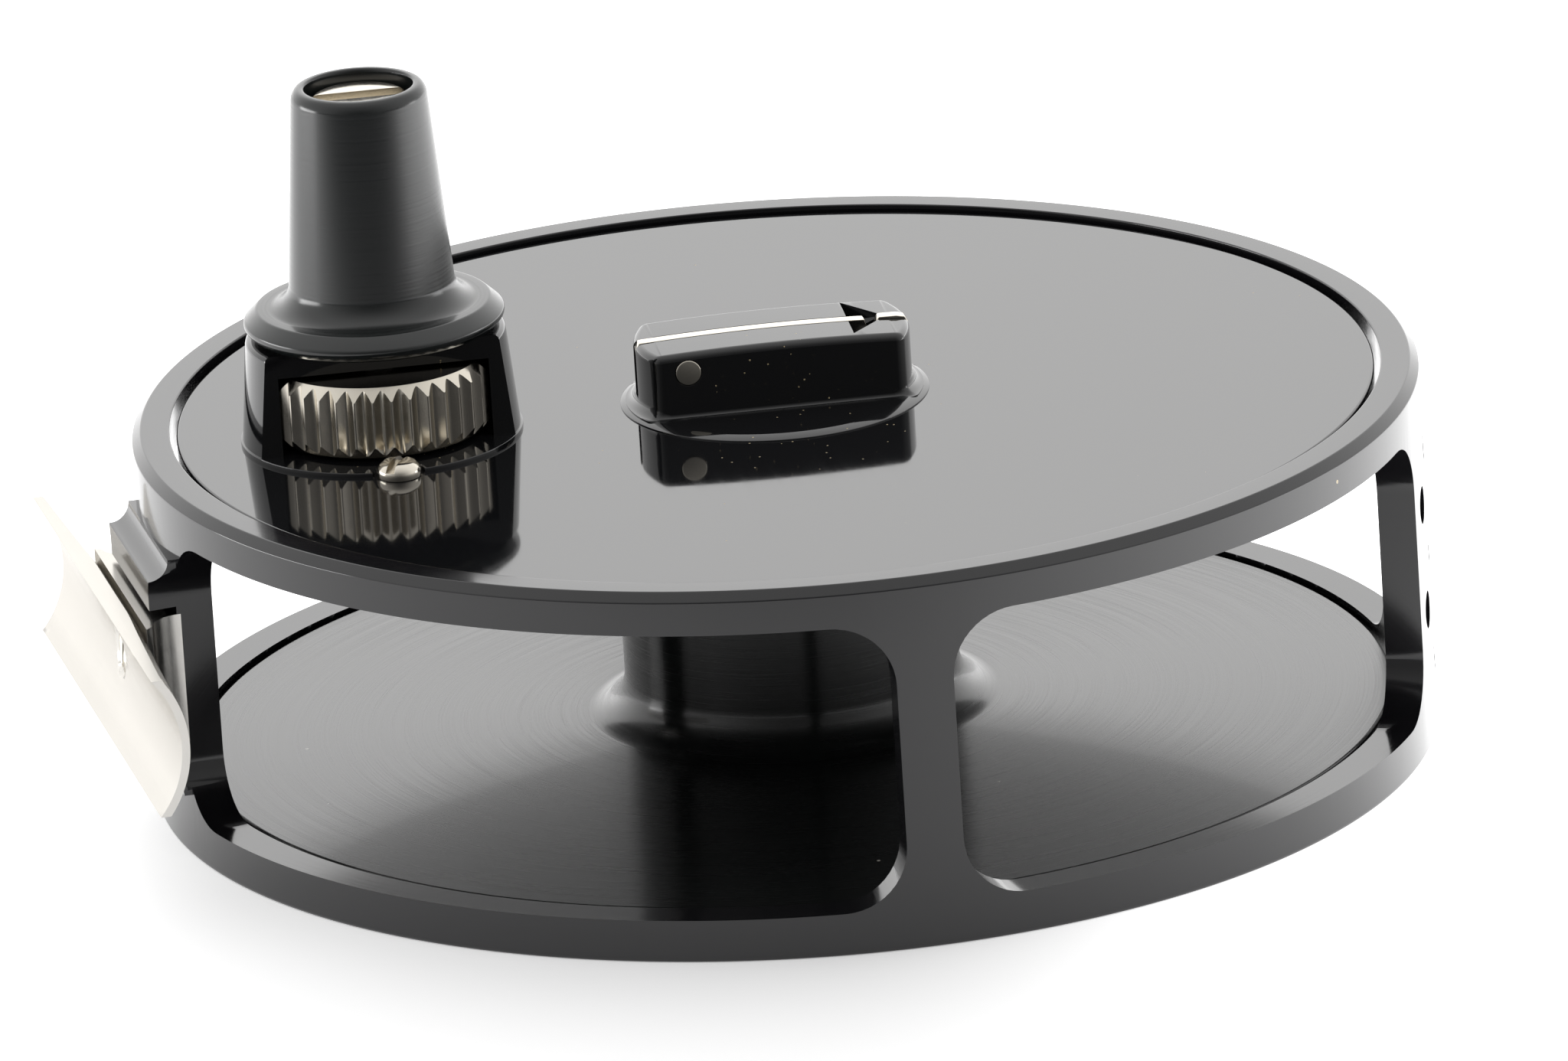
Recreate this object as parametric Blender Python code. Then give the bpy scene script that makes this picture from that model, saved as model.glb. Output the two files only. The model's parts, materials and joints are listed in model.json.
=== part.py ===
"""A fly-fishing reel: a one-piece machined cage with a rear plate and a reel foot, a quick-release
spool on a fixed spindle, a tapered crank grip over a housing with a knurled brake wheel, a spindle
latch, and a click check inside the hub.

Run with Blender 4.5. Lengths below are millimetres. The reel axis is Z, z = 0 is the rear face that
it lies on, the foot points to -X, and the two thin pillars stand at -Y and +Y.
"""

import math

import bpy
from mathutils import Vector

MM = 0.001
GAP = 0.3                       # clearance between pieces that touch on the real reel
RUNNING = 0.05                  # radial clearance of a running fit

# Cage
CAGE_R = 47.5
CAGE_BORE = 44.7
CAGE_HEIGHT = 28.0
RIM_CHAMFER = 0.66
RIM_BOTTOM = 24.84              # lower edge of the top band
RING_TOP = 3.2                  # upper edge of the rear ring
LEDGE_BORE = 41.5               # inner ledge that carries the rear plate
LEDGE_BOTTOM = 1.1
LEDGE_TOP = 2.1
PILLAR_WIDTH = 4.2
FOOT_BRIDGE_HALF = 8.35         # degrees either side of -X
PORT_BRIDGE_MIDDLE = -13.5      # degrees from +X
PORT_BRIDGE_HALF = 10.7
WINDOW_CORNER = 4.75
PORT_PITCH = 8.1                # between neighbouring ports of one column
PORT_COLUMN_STEP = 6.5          # degrees from one column to the next
LARGE_PORT_R = 2.5
SMALL_PORT_R = 1.4

# Reel foot and its seat
FOOT_LENGTH = 46.0
FOOT_WIDTH = 10.4
FOOT_Z = 14.1
TROUGH_R = 8.0
TROUGH_BOTTOM = 50.1            # distance of the trough's deepest line from the reel axis
FOOT_SHEET = 0.95
STEM_LENGTH = 15.0
SEAT_REACH = 49.05
SEAT_FILLET = 1.5
SEAT_HEIGHT = 2.3

# Rear plate
PLATE_R = 44.4
PLATE_THICKNESS = 0.8
BOSS_R = 10.6
BOSS_TOP = 2.6
PLATE_SCREWS = 6
PLATE_SCREW_CIRCLE = 43.1

# Spindle
SPINDLE_R = 3.0
SPINDLE_FLANGE_R = 7.0
SPINDLE_NOSE_R = 2.0
SPINDLE_GROOVE_R = 1.5
SPINDLE_SHOULDER = 27.0
SPINDLE_TOP = 30.9
SPINDLE_SCREWS = 3
SPINDLE_SCREW_CIRCLE = 5.2

# Spool and face plate
SPOOL_ANGLE = -4.75             # degrees about the axis at rest
SPOOL_R = 44.2
REAR_EDGE_TOP = 3.0
REAR_EDGE_BOTTOM = 2.3
REAR_HUB_RISE = 1.0             # how much the rear flange rises towards the hub
ARBOR_R = 12.4
ARBOR_FILLET = 3.0
HUB_CAVITY_R = 11.2
HUB_WEB_Z = 20.0
HUB_TUBE_R = 5.6
HUB_TUBE_BORE = 4.3
HUB_TUBE_END = 9.0
FRONT_FLANGE_Z = 24.0
FRONT_FLANGE_TOP = 24.8
FACE_Z = 27.6
FACE_UNDERSIDE = 26.3
FACE_RIM_BORE = 39.0
FACE_POCKET_FLOOR = 27.1
FACE_SCREWS = 4
FACE_SCREW_CIRCLE = 41.5

# Click check
GEAR_TEETH = 24
GEAR_TIP_R = 7.4
GEAR_ROOT_R = 6.6
GEAR_Z = 9.4
GEAR_HEIGHT = 2.0
PAWL_PIVOT_R = 9.2
PAWL_ANGLE = 32.0               # degrees from +X where the pawl's nose meets the gear
PAWL_Z = 9.8
PAWL_THICKNESS = 1.2
SPRING_POST_R = 9.3
SPRING_POST_ANGLE = 100.0

# Crank: housing, post, grip and brake wheel, about an axis parallel to the reel axis
CRANK_RADIUS = 29.2
HOUSING_BASE_R = 10.4
HOUSING_LOW_R = 10.3
HOUSING_HIGH_R = 9.56
HOUSING_FLOOR = 27.9
HOUSING_ROOF = 33.9
HOUSING_TOP = 35.6
HOUSING_FLAT = 4.1              # distance of the milled front from the crank axis
WHEEL_CHAMBER_R = 8.8
WHEEL_R = 8.5
WHEEL_ROOT_R = 7.85
WHEEL_FLUTES = 38
WHEEL_BOTTOM = 28.2
WHEEL_TOP = 33.6
WHEEL_CHAMFER = 0.65
POST_R = 2.0
POST_TOP = 51.3
SLEEVE_R = 3.4
CAM_R = 4.0
CAM_RISE = 0.36
CAM_TURN = 300.0                # degrees of wheel travel over which the cam rises
BRAKE_Z = 25.1
BRAKE_THICKNESS = 0.9
BRAKE_PIVOT = (-14.5, 5.9)
GRIP_BOTTOM = 35.9
GRIP_TOP = 54.45
GRIP_FLANGE_R = 9.6
GRIP_NECK_R = 6.08
GRIP_END_R = 4.98
GRIP_RECESS_R = 3.95
GRIP_FILLET = 1.95
GRIP_COUNTERBORE = (3.9, 2.1)   # radius and depth of the hole that clears the post's nut
GRIP_BUSH_BORE = 3.2            # bore of the grip for its bush
GRIP_SCREW_R = 3.6
GRIP_SCREW_HEIGHT = 2.1
GRIP_SCREW_SLOT = 1.1
LOCK_SCREW_R = 1.6
LOCK_SCREW_STEM_R = 0.65
LOCK_SCREW_HEIGHT = 1.3

# Spindle latch on the face plate
LATCH_DISC_R = 11.4
LATCH_DISC_BOTTOM = 27.4
LATCH_DISC_TOP = 28.1
LATCH_END_R = 10.2
LATCH_HALF_WIDTH = 4.5
LATCH_TOP = 32.9
LATCH_BEVEL = 0.7
LATCH_SLOT = 1.3
LATCH_SLOT_FLOOR = 28.5
LATCH_LEAF = 1.0
LATCH_PIN_R = 0.95
LATCH_PIN = (-6.8, 31.3)        # x and z of the lever's pivot
LATCH_TRAVEL = 1.3
LATCH_PLATE_Z = 28.9
LATCH_PLATE_THICKNESS = 0.6
LATCH_SCREWS = ((-8.3, 2.6), (8.3, -2.6))

# Facets around a full turn
FACETS_LARGE = 64
FACETS_SPOOL = 40
FACETS_ROUND = 24
FACETS_SMALL = 12

# Finishes: base colour, metallic, roughness
BLACK_ANODISED = ((0.012, 0.012, 0.014), 0.2, 0.12)
SATIN_BLACK = ((0.030, 0.033, 0.033), 0.2, 0.35)
NICKEL_SILVER = ((0.62, 0.58, 0.50), 1.0, 0.22)
STEEL = ((0.55, 0.55, 0.56), 1.0, 0.25)
BRONZE = ((0.50, 0.32, 0.14), 1.0, 0.35)
CORK = ((0.32, 0.19, 0.10), 0.0, 0.80)


def clear_scene():
    for item in list(bpy.data.objects):
        bpy.data.objects.remove(item)


def axis(name, x=0.0, y=0.0, z=0.0, turn=0.0, parent=None):
    """An empty on a joint's axis; the pieces that turn or slide there are its children."""
    empty = bpy.data.objects.new(name, None)
    empty.empty_display_size = 0.01
    empty.location = Vector((x, y, z)) * MM
    empty.rotation_euler = (0.0, 0.0, math.radians(turn))
    empty.parent = parent
    bpy.context.scene.collection.objects.link(empty)
    return empty


def own_material(name, finish):
    colour, metallic, roughness = finish
    material = bpy.data.materials.new(name + "_finish")
    material.use_nodes = True
    shader = material.node_tree.nodes["Principled BSDF"]
    shader.inputs["Base Color"].default_value = (*colour, 1.0)
    shader.inputs["Metallic"].default_value = metallic
    shader.inputs["Roughness"].default_value = roughness
    return material


def build(name, points, faces, finish=None, parent=None):
    """One closed mesh object from points in millimetres. Without a finish it is a cutter."""
    mesh = bpy.data.meshes.new(name)
    mesh.from_pydata([tuple(Vector(point) * MM) for point in points], [], faces)
    mesh.validate()
    item = bpy.data.objects.new(name, mesh)
    item.parent = parent
    bpy.context.scene.collection.objects.link(item)
    if finish is None:
        item.hide_render = True
        item.display_type = "WIRE"
        return item
    mesh.shade_smooth()
    mesh.set_sharp_from_angle(angle=math.radians(30))
    mesh.materials.append(own_material(name, finish))
    return item


def loft(name, loops, ring=False, **options):
    """Skin equal loops of points. A ring joins the last loop to the first; otherwise the ends are capped.
    Loops run anticlockwise seen from +Z, and go up the outer side first."""
    points = []
    starts = []
    for loop in loops:
        starts.append(len(points))
        points.extend(loop)
    count = max(len(loop) for loop in loops)
    pairs = list(zip(starts, starts[1:]))
    lengths = [len(loop) for loop in loops]
    if ring:
        pairs.append((starts[-1], starts[0]))
    faces = []
    for step, (low, high) in enumerate(pairs):
        low_is_pole = lengths[step] == 1
        high_is_pole = lengths[(step + 1) % len(loops)] == 1
        for side in range(count):
            after = (side + 1) % count
            if low_is_pole:
                faces.append((low, high + after, high + side))
            elif high_is_pole:
                faces.append((low + side, low + after, high))
            else:
                faces.append((low + side, low + after, high + after, high + side))
    if not ring and lengths[0] > 1:
        faces.append(tuple(reversed(range(starts[0], starts[0] + count))))
    if not ring and lengths[-1] > 1:
        faces.append(tuple(range(starts[-1], starts[-1] + count)))
    return build(name, points, faces, **options)


def circle(radius, z, facets, centre=(0.0, 0.0)):
    if radius == 0:
        return [(centre[0], centre[1], z)]
    turns = [2 * math.pi * step / facets for step in range(facets)]
    return [(centre[0] + radius * math.cos(a), centre[1] + radius * math.sin(a), z) for a in turns]


def turned(name, profile, facets=FACETS_ROUND, **options):
    """A turned piece. The profile lists (radius, z) from the bottom up the outer side. One that starts
    and ends on the axis is solid; any other is a closed section and leaves a bore."""
    ring = profile[0][0] > 0
    return loft(name, [circle(r, z, facets) for r, z in profile], ring=ring, **options)


def prism(name, outline, low, high, **options):
    """An outline in x and y, anticlockwise, extruded from low to high along Z."""
    return loft(name, [[(x, y, z) for x, y in outline] for z in (low, high)], **options)


def side_prism(name, outline, half_width, **options):
    """An outline in x and z, anticlockwise seen from -Y, extruded to both sides along Y."""
    loops = [[(x, y, z) for x, z in outline] for y in (half_width, -half_width)]
    return loft(name, loops, **options)


def cylinder(name, radius, low, high, centre=(0.0, 0.0), facets=FACETS_SMALL, top=None, **options):
    """A straight cylinder, or a cone when the top radius differs."""
    upper = radius if top is None else top
    loops = [circle(radius, low, facets, centre), circle(upper, high, facets, centre)]
    return loft(name, loops, **options)


def block(name, x, y, z, **options):
    outline = [(x[0], y[0]), (x[1], y[0]), (x[1], y[1]), (x[0], y[1])]
    return prism(name, outline, z[0], z[1], **options)


def arc(centre, radius, start, end, steps):
    """Points on an arc in a plane; the angles are in degrees."""
    turns = [math.radians(start + (end - start) * step / steps) for step in range(steps + 1)]
    return [(centre[0] + radius * math.cos(a), centre[1] + radius * math.sin(a)) for a in turns]


def boolean(item, operation, tools):
    """Keep the Boolean live on its piece, with its tools in a collection of their own."""
    group = bpy.data.collections.new(item.name + "_" + operation.lower())
    for tool in tools:
        group.objects.link(tool)
    modifier = item.modifiers.new(operation.lower(), "BOOLEAN")
    modifier.operation = operation
    modifier.operand_type = "COLLECTION"
    modifier.collection = group
    modifier.solver = "EXACT"
    return item


def cut(item, *tools):
    return boolean(item, "DIFFERENCE", tools)


def join(item, *tools):
    return boolean(item, "UNION", tools)


def around(radius, degrees):
    """A point at this angle from +X."""
    return (radius * math.cos(math.radians(degrees)), radius * math.sin(math.radians(degrees)))


def spread(count, radius, first=0.0):
    """Points evenly round a circle."""
    return [around(radius, first + 360.0 * step / count) for step in range(count)]


# ---------------------------------------------------------------- cage, foot and rear plate


def window(name, start, end):
    """A cutter for one window: a rounded rectangle wrapped round the cage wall, between two angles
    measured from +X."""
    corner = math.degrees(WINDOW_CORNER / CAGE_R)
    steps = 4
    left = [(start + corner * (1 - math.cos(t)), WINDOW_CORNER * (1 - math.sin(t)))
            for t in (math.radians(90.0 * step / steps) for step in range(steps + 1))]
    right = [(start + end - angle, inset) for angle, inset in reversed(left)]
    flat = 6
    middle = [(start + corner + (end - start - 2 * corner) * step / flat, 0.0) for step in range(1, flat)]
    columns = left + middle + right
    inner = CAGE_BORE - 1.0
    outer = CAGE_R + 2.5
    loops = []
    for angle, inset in columns:
        low = RING_TOP + inset
        high = RIM_BOTTOM - inset
        near = around(inner, angle)
        far = around(outer, angle)
        loops.append([(*near, low), (*near, high), (*far, high), (*far, low)])
    return loft(name, loops)


def port(name, degrees, z, radius):
    """A radial port cutter through the bridge on the +X side."""
    item = cylinder(name, radius, CAGE_BORE - 1.5, CAGE_R + 1.5)
    item.location = (0.0, 0.0, z * MM)
    item.rotation_euler = (0.0, math.radians(90), math.radians(degrees))
    return item


def port_cutters():
    """Three columns of ports: large ports along the bridge's middle, small ports on either side."""
    height = (RING_TOP + RIM_BOTTOM) / 2
    cutters = []
    for column in (-1, 0, 1):
        large = column == 0
        rows = (-1, 0, 1) if large else (-0.5, 0.5)
        radius = LARGE_PORT_R if large else SMALL_PORT_R
        degrees = PORT_BRIDGE_MIDDLE + column * PORT_COLUMN_STEP
        for row in rows:
            name = f"port_cutter_{len(cutters) + 1}"
            cutters.append(port(name, degrees, height + row * PORT_PITCH, radius))
    return cutters


def foot_seat(name, mirror):
    """One ledge of the foot's seat, flared into the cage wall away from the foot."""
    reach = -SEAT_REACH
    inside = -CAGE_R + 1.5
    near = FOOT_WIDTH / 2 + 0.1
    top = near + SEAT_HEIGHT
    fillet = arc((reach + 0.05, top + SEAT_FILLET), SEAT_FILLET, 0, -90, 4)
    outline = [(inside, near), (inside, top + SEAT_FILLET), *fillet, (reach, top), (reach, near)]
    outline = [(x, FOOT_Z + mirror * z) for x, z in outline]
    if mirror < 0:
        outline.reverse()
    return side_prism(name, outline, STEM_LENGTH / 2)


def frame_cage():
    profile = [
        (CAGE_R - 0.3, 0.0),
        (CAGE_R, 0.3),
        (CAGE_R, CAGE_HEIGHT - RIM_CHAMFER),
        (CAGE_R - RIM_CHAMFER, CAGE_HEIGHT),
        (CAGE_BORE, CAGE_HEIGHT),
        (CAGE_BORE, LEDGE_TOP),
        (LEDGE_BORE, LEDGE_TOP),
        (LEDGE_BORE, LEDGE_BOTTOM),
        (CAGE_BORE, LEDGE_BOTTOM),
        (CAGE_BORE, 0.0),
    ]
    cage = turned("frame_cage", profile, FACETS_LARGE, finish=BLACK_ANODISED)
    join(cage, foot_seat("front_seat_tool", 1), foot_seat("rear_seat_tool", -1))
    pillar = math.degrees(math.asin(PILLAR_WIDTH / 2 / CAGE_R))
    cutters = [
        window("window_cutter_1", PORT_BRIDGE_MIDDLE + PORT_BRIDGE_HALF, 90 - pillar),
        window("window_cutter_2", 90 + pillar, 180 - FOOT_BRIDGE_HALF),
        window("window_cutter_3", 180 + FOOT_BRIDGE_HALF, 270 - pillar),
        window("window_cutter_4", 270 + pillar, 360 + PORT_BRIDGE_MIDDLE - PORT_BRIDGE_HALF),
    ]
    cutters += port_cutters()
    for index, (x, y) in enumerate(spread(PLATE_SCREWS, PLATE_SCREW_CIRCLE, 30), 1):
        cutters.append(cylinder(f"ledge_hole_{index}", 1.0, 0.5, LEDGE_TOP + 0.5, (x, y)))
    screw_hole = cylinder("foot_hole_cutter", 1.3, CAGE_BORE - 1.0, SEAT_REACH + 1.0)
    screw_hole.location = (0.0, 0.0, FOOT_Z * MM)
    screw_hole.rotation_euler = (0.0, math.radians(-90), 0.0)
    cutters.append(screw_hole)
    cut(cage, *cutters)


def trough_x(radius, z):
    """x on an arc about the line that the rod seat's axis follows."""
    return -(TROUGH_BOTTOM + TROUGH_R) + math.sqrt(radius**2 - z**2)


def reel_foot():
    half = FOOT_WIDTH / 2
    heights = [half * (step / 4 - 1) for step in range(9)]
    outline = [(trough_x(TROUGH_R, z), FOOT_Z + z) for z in reversed(heights)]
    outline += [(trough_x(TROUGH_R + FOOT_SHEET, z), FOOT_Z + z) for z in heights]
    foot = side_prism("reel_foot", outline, FOOT_LENGTH / 2, finish=NICKEL_SILVER)
    buried = TROUGH_R + FOOT_SHEET / 2
    stem_heights = [(half - 0.3) * (step / 4 - 1) for step in range(9)]
    stem = [(trough_x(buried, z), FOOT_Z + z) for z in reversed(stem_heights)]
    stem += [(-CAGE_R - GAP, FOOT_Z + stem_heights[0]), (-CAGE_R - GAP, FOOT_Z + stem_heights[-1])]
    join(foot, side_prism("foot_stem_tool", stem, STEM_LENGTH / 2))
    bore = cylinder("foot_bore_cutter", 1.3, CAGE_R - 1.0, TROUGH_BOTTOM + 1.0)
    sink = cylinder("foot_sink_cutter", 1.1, TROUGH_BOTTOM - 0.85, TROUGH_BOTTOM + 0.2, top=2.15)
    for tool in (bore, sink):
        tool.location = (0.0, 0.0, FOOT_Z * MM)
        tool.rotation_euler = (0.0, math.radians(-90), 0.0)
    cut(foot, bore, sink)


def countersunk_screw(name, head_r, head_height, shank_r, length, finish=STEEL, parent=None):
    """A screw that points up its own Z, with its head's flat at z = 0."""
    profile = [(0, 0), (head_r, 0), (shank_r, head_height), (shank_r, length), (0, length)]
    return turned(name, profile, FACETS_SMALL, finish=finish, parent=parent)


def slotted(item, width, low, high, reach, parent=None):
    """Cut a screwdriver slot across the head."""
    tool = block(item.name + "_slot", (-reach, reach), (-width / 2, width / 2), (low, high), parent=parent)
    tool.location = item.location
    tool.rotation_euler = item.rotation_euler
    return cut(item, tool)


def foot_screw():
    screw = countersunk_screw("foot_screw", 1.65, 0.8, 0.95, 5.0)
    screw.location = (-(TROUGH_BOTTOM - 0.1) * MM, 0.0, FOOT_Z * MM)
    screw.rotation_euler = (0.0, math.radians(90), 0.0)
    slotted(screw, 0.45, -0.5, 0.4, 3.0)


def rear_plate():
    profile = [(0, 0), (PLATE_R, 0), (PLATE_R, PLATE_THICKNESS), (BOSS_R, PLATE_THICKNESS)]
    profile += [(BOSS_R, BOSS_TOP), (0, BOSS_TOP)]
    plate = turned("rear_plate", profile, FACETS_SPOOL, finish=BLACK_ANODISED)
    cutters = []
    for index, point in enumerate(spread(PLATE_SCREWS, PLATE_SCREW_CIRCLE, 30), 1):
        sink = cylinder(f"plate_sink_{index}", 1.32, -0.3, 1.2, point, top=0.82)
        cutters.append(sink)
        screw = countersunk_screw(f"rear_plate_screw_{index}", 1.0, 0.6, 0.5, 1.8)
        screw.location = (point[0] * MM, point[1] * MM, 0.1 * MM)
    for index, point in enumerate(spread(SPINDLE_SCREWS, SPINDLE_SCREW_CIRCLE, 60), 1):
        cutters.append(cylinder(f"boss_hole_{index}", 0.9, 1.2, BOSS_TOP + 0.5, point))
    pawl_seat = around(PAWL_PIVOT_R, 0)
    spring_seat = around(SPRING_POST_R, SPRING_POST_ANGLE)
    cutters.append(cylinder("pawl_seat_cutter", 1.1, 1.1, BOSS_TOP + 0.5, pawl_seat))
    cutters.append(cylinder("spring_seat_cutter", 1.0, 1.1, BOSS_TOP + 0.5, spring_seat))
    cut(plate, *cutters)


def spindle():
    low = BOSS_TOP + GAP
    plate_low = LATCH_PLATE_Z - GAP
    plate_high = LATCH_PLATE_Z + LATCH_PLATE_THICKNESS + GAP
    profile = [
        (0, low),
        (SPINDLE_FLANGE_R, low),
        (SPINDLE_FLANGE_R, low + 1.0),
        (SPINDLE_R, low + 1.0),
        (SPINDLE_R, SPINDLE_SHOULDER),
        (SPINDLE_NOSE_R, SPINDLE_SHOULDER),
        (SPINDLE_NOSE_R, plate_low),
        (SPINDLE_GROOVE_R, plate_low),
        (SPINDLE_GROOVE_R, plate_high),
        (SPINDLE_NOSE_R, plate_high),
        (SPINDLE_NOSE_R - 0.3, SPINDLE_TOP),
        (0, SPINDLE_TOP),
    ]
    shaft = turned("spindle", profile, finish=STEEL)
    holes = []
    for index, point in enumerate(spread(SPINDLE_SCREWS, SPINDLE_SCREW_CIRCLE, 60), 1):
        holes.append(cylinder(f"spindle_hole_{index}", 0.9, low - 0.5, low + 1.5, point))
        head = low + 1.0 + GAP
        outline = [(0, 1.4), (0.6, 1.4), (0.6, head), (1.2, head), (1.2, head + 0.7), (0, head + 0.7)]
        screw = turned(f"spindle_screw_{index}", outline, FACETS_SMALL, finish=STEEL)
        screw.location = (point[0] * MM, point[1] * MM, 0.0)
    cut(shaft, *holes)


# ---------------------------------------------------------------- click check inside the hub


def click_posts():
    x, y = around(PAWL_PIVOT_R, 0)
    collar = PAWL_Z - GAP
    profile = [(0, 1.4), (0.8, 1.4), (0.8, collar - 0.6), (1.3, collar - 0.6), (1.3, collar)]
    profile += [(0.8, collar), (0.8, PAWL_Z + 2.0), (0, PAWL_Z + 2.0)]
    post = turned("pawl_post", profile, FACETS_SMALL, finish=STEEL)
    post.location = (x * MM, y * MM, 0.0)
    x, y = around(SPRING_POST_R, SPRING_POST_ANGLE)
    post = turned("spring_post", [(0, 1.4), (0.65, 1.4), (0.65, 11.5), (0, 11.5)], FACETS_SMALL, finish=STEEL)
    post.location = (x * MM, y * MM, 0.0)


def click_spring():
    """A leaf bent to the hub cavity. It stands where the raised pawl pushes it."""
    outline = arc((0, 0), 10.6, 46, 98, 10) + arc((0, 0), 10.28, 98, 46, 10)
    prism("click_spring", outline, PAWL_Z, PAWL_Z + PAWL_THICKNESS, finish=STEEL)


def pawl(pivot):
    """A flat pawl about its post. Its nose rests in a gap between two teeth."""
    px, py = around(PAWL_PIVOT_R, 0)

    def local(radius, degrees):
        x, y = around(radius, degrees)
        return (x - px, y - py)

    outline = arc((0, 0), 1.55, -200, 10, 10)
    outline += [local(10.0, 16), local(10.1, 26), local(9.5, 35)]
    outline += [local(8.1, PAWL_ANGLE + 4), local(6.95, PAWL_ANGLE + 0.6), local(6.95, PAWL_ANGLE - 0.6)]
    outline += [local(8.0, PAWL_ANGLE - 5), local(8.1, 16)]
    item = prism("click_pawl", outline, PAWL_Z, PAWL_Z + PAWL_THICKNESS, finish=STEEL, parent=pivot)
    bore = cylinder("pawl_bore_cutter", 0.95, PAWL_Z - 1, PAWL_Z + PAWL_THICKNESS + 1, parent=pivot)
    cut(item, bore)


def check_gear(spool_axis):
    """The ratchet ring on the hub tube. A gap between teeth faces the pawl's nose at rest."""
    pitch = 360.0 / GEAR_TEETH
    first = PAWL_ANGLE - SPOOL_ANGLE
    outer = []
    inner = []
    for tooth in range(GEAR_TEETH):
        gap_angle = first + tooth * pitch
        outer += [around(GEAR_ROOT_R, gap_angle), around(GEAR_TIP_R, gap_angle + pitch / 2)]
        inner += [around(HUB_TUBE_R + GAP, gap_angle), around(HUB_TUBE_R + GAP, gap_angle + pitch / 2)]
    low = GEAR_Z
    high = GEAR_Z + GEAR_HEIGHT
    levels = [(outer, low), (outer, high), (inner, high), (inner, low)]
    loops = [[(x, y, z) for x, y in points] for points, z in levels]
    loft("check_gear", loops, ring=True, finish=BRONZE, parent=spool_axis)


# ---------------------------------------------------------------- spool and face plate


def spool(spool_axis):
    hub_top = REAR_EDGE_TOP + REAR_HUB_RISE
    hub_bottom = REAR_EDGE_BOTTOM + REAR_HUB_RISE - 0.1
    foot = ARBOR_R + ARBOR_FILLET
    low_fillet = arc((foot, hub_top + ARBOR_FILLET), ARBOR_FILLET, 270, 180, 4)
    high_fillet = arc((foot, FRONT_FLANGE_Z - ARBOR_FILLET), ARBOR_FILLET, 180, 90, 4)
    profile = [(HUB_CAVITY_R, hub_bottom), (SPOOL_R, REAR_EDGE_BOTTOM), (SPOOL_R, REAR_EDGE_TOP - 0.25)]
    profile += [(SPOOL_R - 0.25, REAR_EDGE_TOP)]
    profile += low_fillet + high_fillet
    profile += [
        (SPOOL_R, FRONT_FLANGE_Z),
        (SPOOL_R, FRONT_FLANGE_TOP),
        (HUB_TUBE_BORE, FRONT_FLANGE_TOP),
        (HUB_TUBE_BORE, HUB_TUBE_END),
        (HUB_TUBE_R, HUB_TUBE_END),
        (HUB_TUBE_R, HUB_WEB_Z),
        (HUB_CAVITY_R, HUB_WEB_Z),
    ]
    item = turned("spool", profile, FACETS_SPOOL, finish=BLACK_ANODISED, parent=spool_axis)
    tools = [cylinder("post_hole_cutter", POST_R + GAP, FRONT_FLANGE_Z - 1, FRONT_FLANGE_TOP + 1,
                      (-CRANK_RADIUS, 0.0), parent=spool_axis)]
    for index, point in enumerate(spread(FACE_SCREWS, FACE_SCREW_CIRCLE, 45), 1):
        tools.append(cylinder(f"flange_sink_{index}", 1.95, FRONT_FLANGE_Z - 0.3, FRONT_FLANGE_TOP + 0.3,
                              point, top=0.85, parent=spool_axis))
        screw = countersunk_screw(f"face_plate_screw_{index}", 1.3, 0.75, 0.6, 3.0, parent=spool_axis)
        screw.location = (point[0] * MM, point[1] * MM, (FRONT_FLANGE_Z + 0.05) * MM)
    cut(item, *tools)


def bushes(spool_axis):
    bore = SPINDLE_R + RUNNING
    outside = HUB_TUBE_BORE - GAP
    for name, low, high in (("rear_bush", 9.0, 13.0), ("front_bush", 20.2, 24.6)):
        profile = [(outside, low), (outside, high), (bore, high), (bore, low)]
        turned(name, profile, finish=BRONZE, parent=spool_axis)


def face_plate(spool_axis):
    rim_low = FRONT_FLANGE_TOP + GAP
    profile = [
        (FACE_RIM_BORE, rim_low),
        (SPOOL_R, rim_low),
        (SPOOL_R, FACE_Z - 0.2),
        (SPOOL_R - 0.2, FACE_Z),
        (SPINDLE_R + 0.4, FACE_Z),
        (SPINDLE_R + 0.4, FACE_UNDERSIDE),
        (FACE_RIM_BORE, FACE_UNDERSIDE),
    ]
    plate = turned("face_plate", profile, FACETS_LARGE, finish=BLACK_ANODISED, parent=spool_axis)
    crank = (-CRANK_RADIUS, 0.0)
    above = FACE_Z + 1
    below = FACE_UNDERSIDE - 1
    tools = [
        cylinder("latch_pocket", LATCH_DISC_R + GAP, FACE_POCKET_FLOOR, above,
                 facets=FACETS_ROUND, parent=spool_axis),
        cylinder("housing_pocket", HOUSING_BASE_R + GAP, FACE_POCKET_FLOOR, above,
                 crank, facets=FACETS_ROUND, parent=spool_axis),
        cylinder("sleeve_hole", CAM_R + CAM_RISE + 0.6, below, above, crank, parent=spool_axis),
        cylinder("brake_pin_hole", 1.1, below, FACE_POCKET_FLOOR, BRAKE_PIVOT, parent=spool_axis),
        cylinder("lock_screw_hole", 1.0, below, above, (-CRANK_RADIUS, -HOUSING_BASE_R - 0.1),
                 parent=spool_axis),
    ]
    for index, point in enumerate(LATCH_SCREWS, 1):
        tools.append(cylinder(f"latch_screw_hole_{index}", 1.0, below, above, point, parent=spool_axis))
    for index, point in enumerate(spread(FACE_SCREWS, FACE_SCREW_CIRCLE, 45), 1):
        tools.append(cylinder(f"rim_hole_{index}", 0.9, rim_low - 1, FACE_Z - 0.3, point,
                              parent=spool_axis))
    cut(plate, *tools)


# ---------------------------------------------------------------- spindle latch


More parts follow.
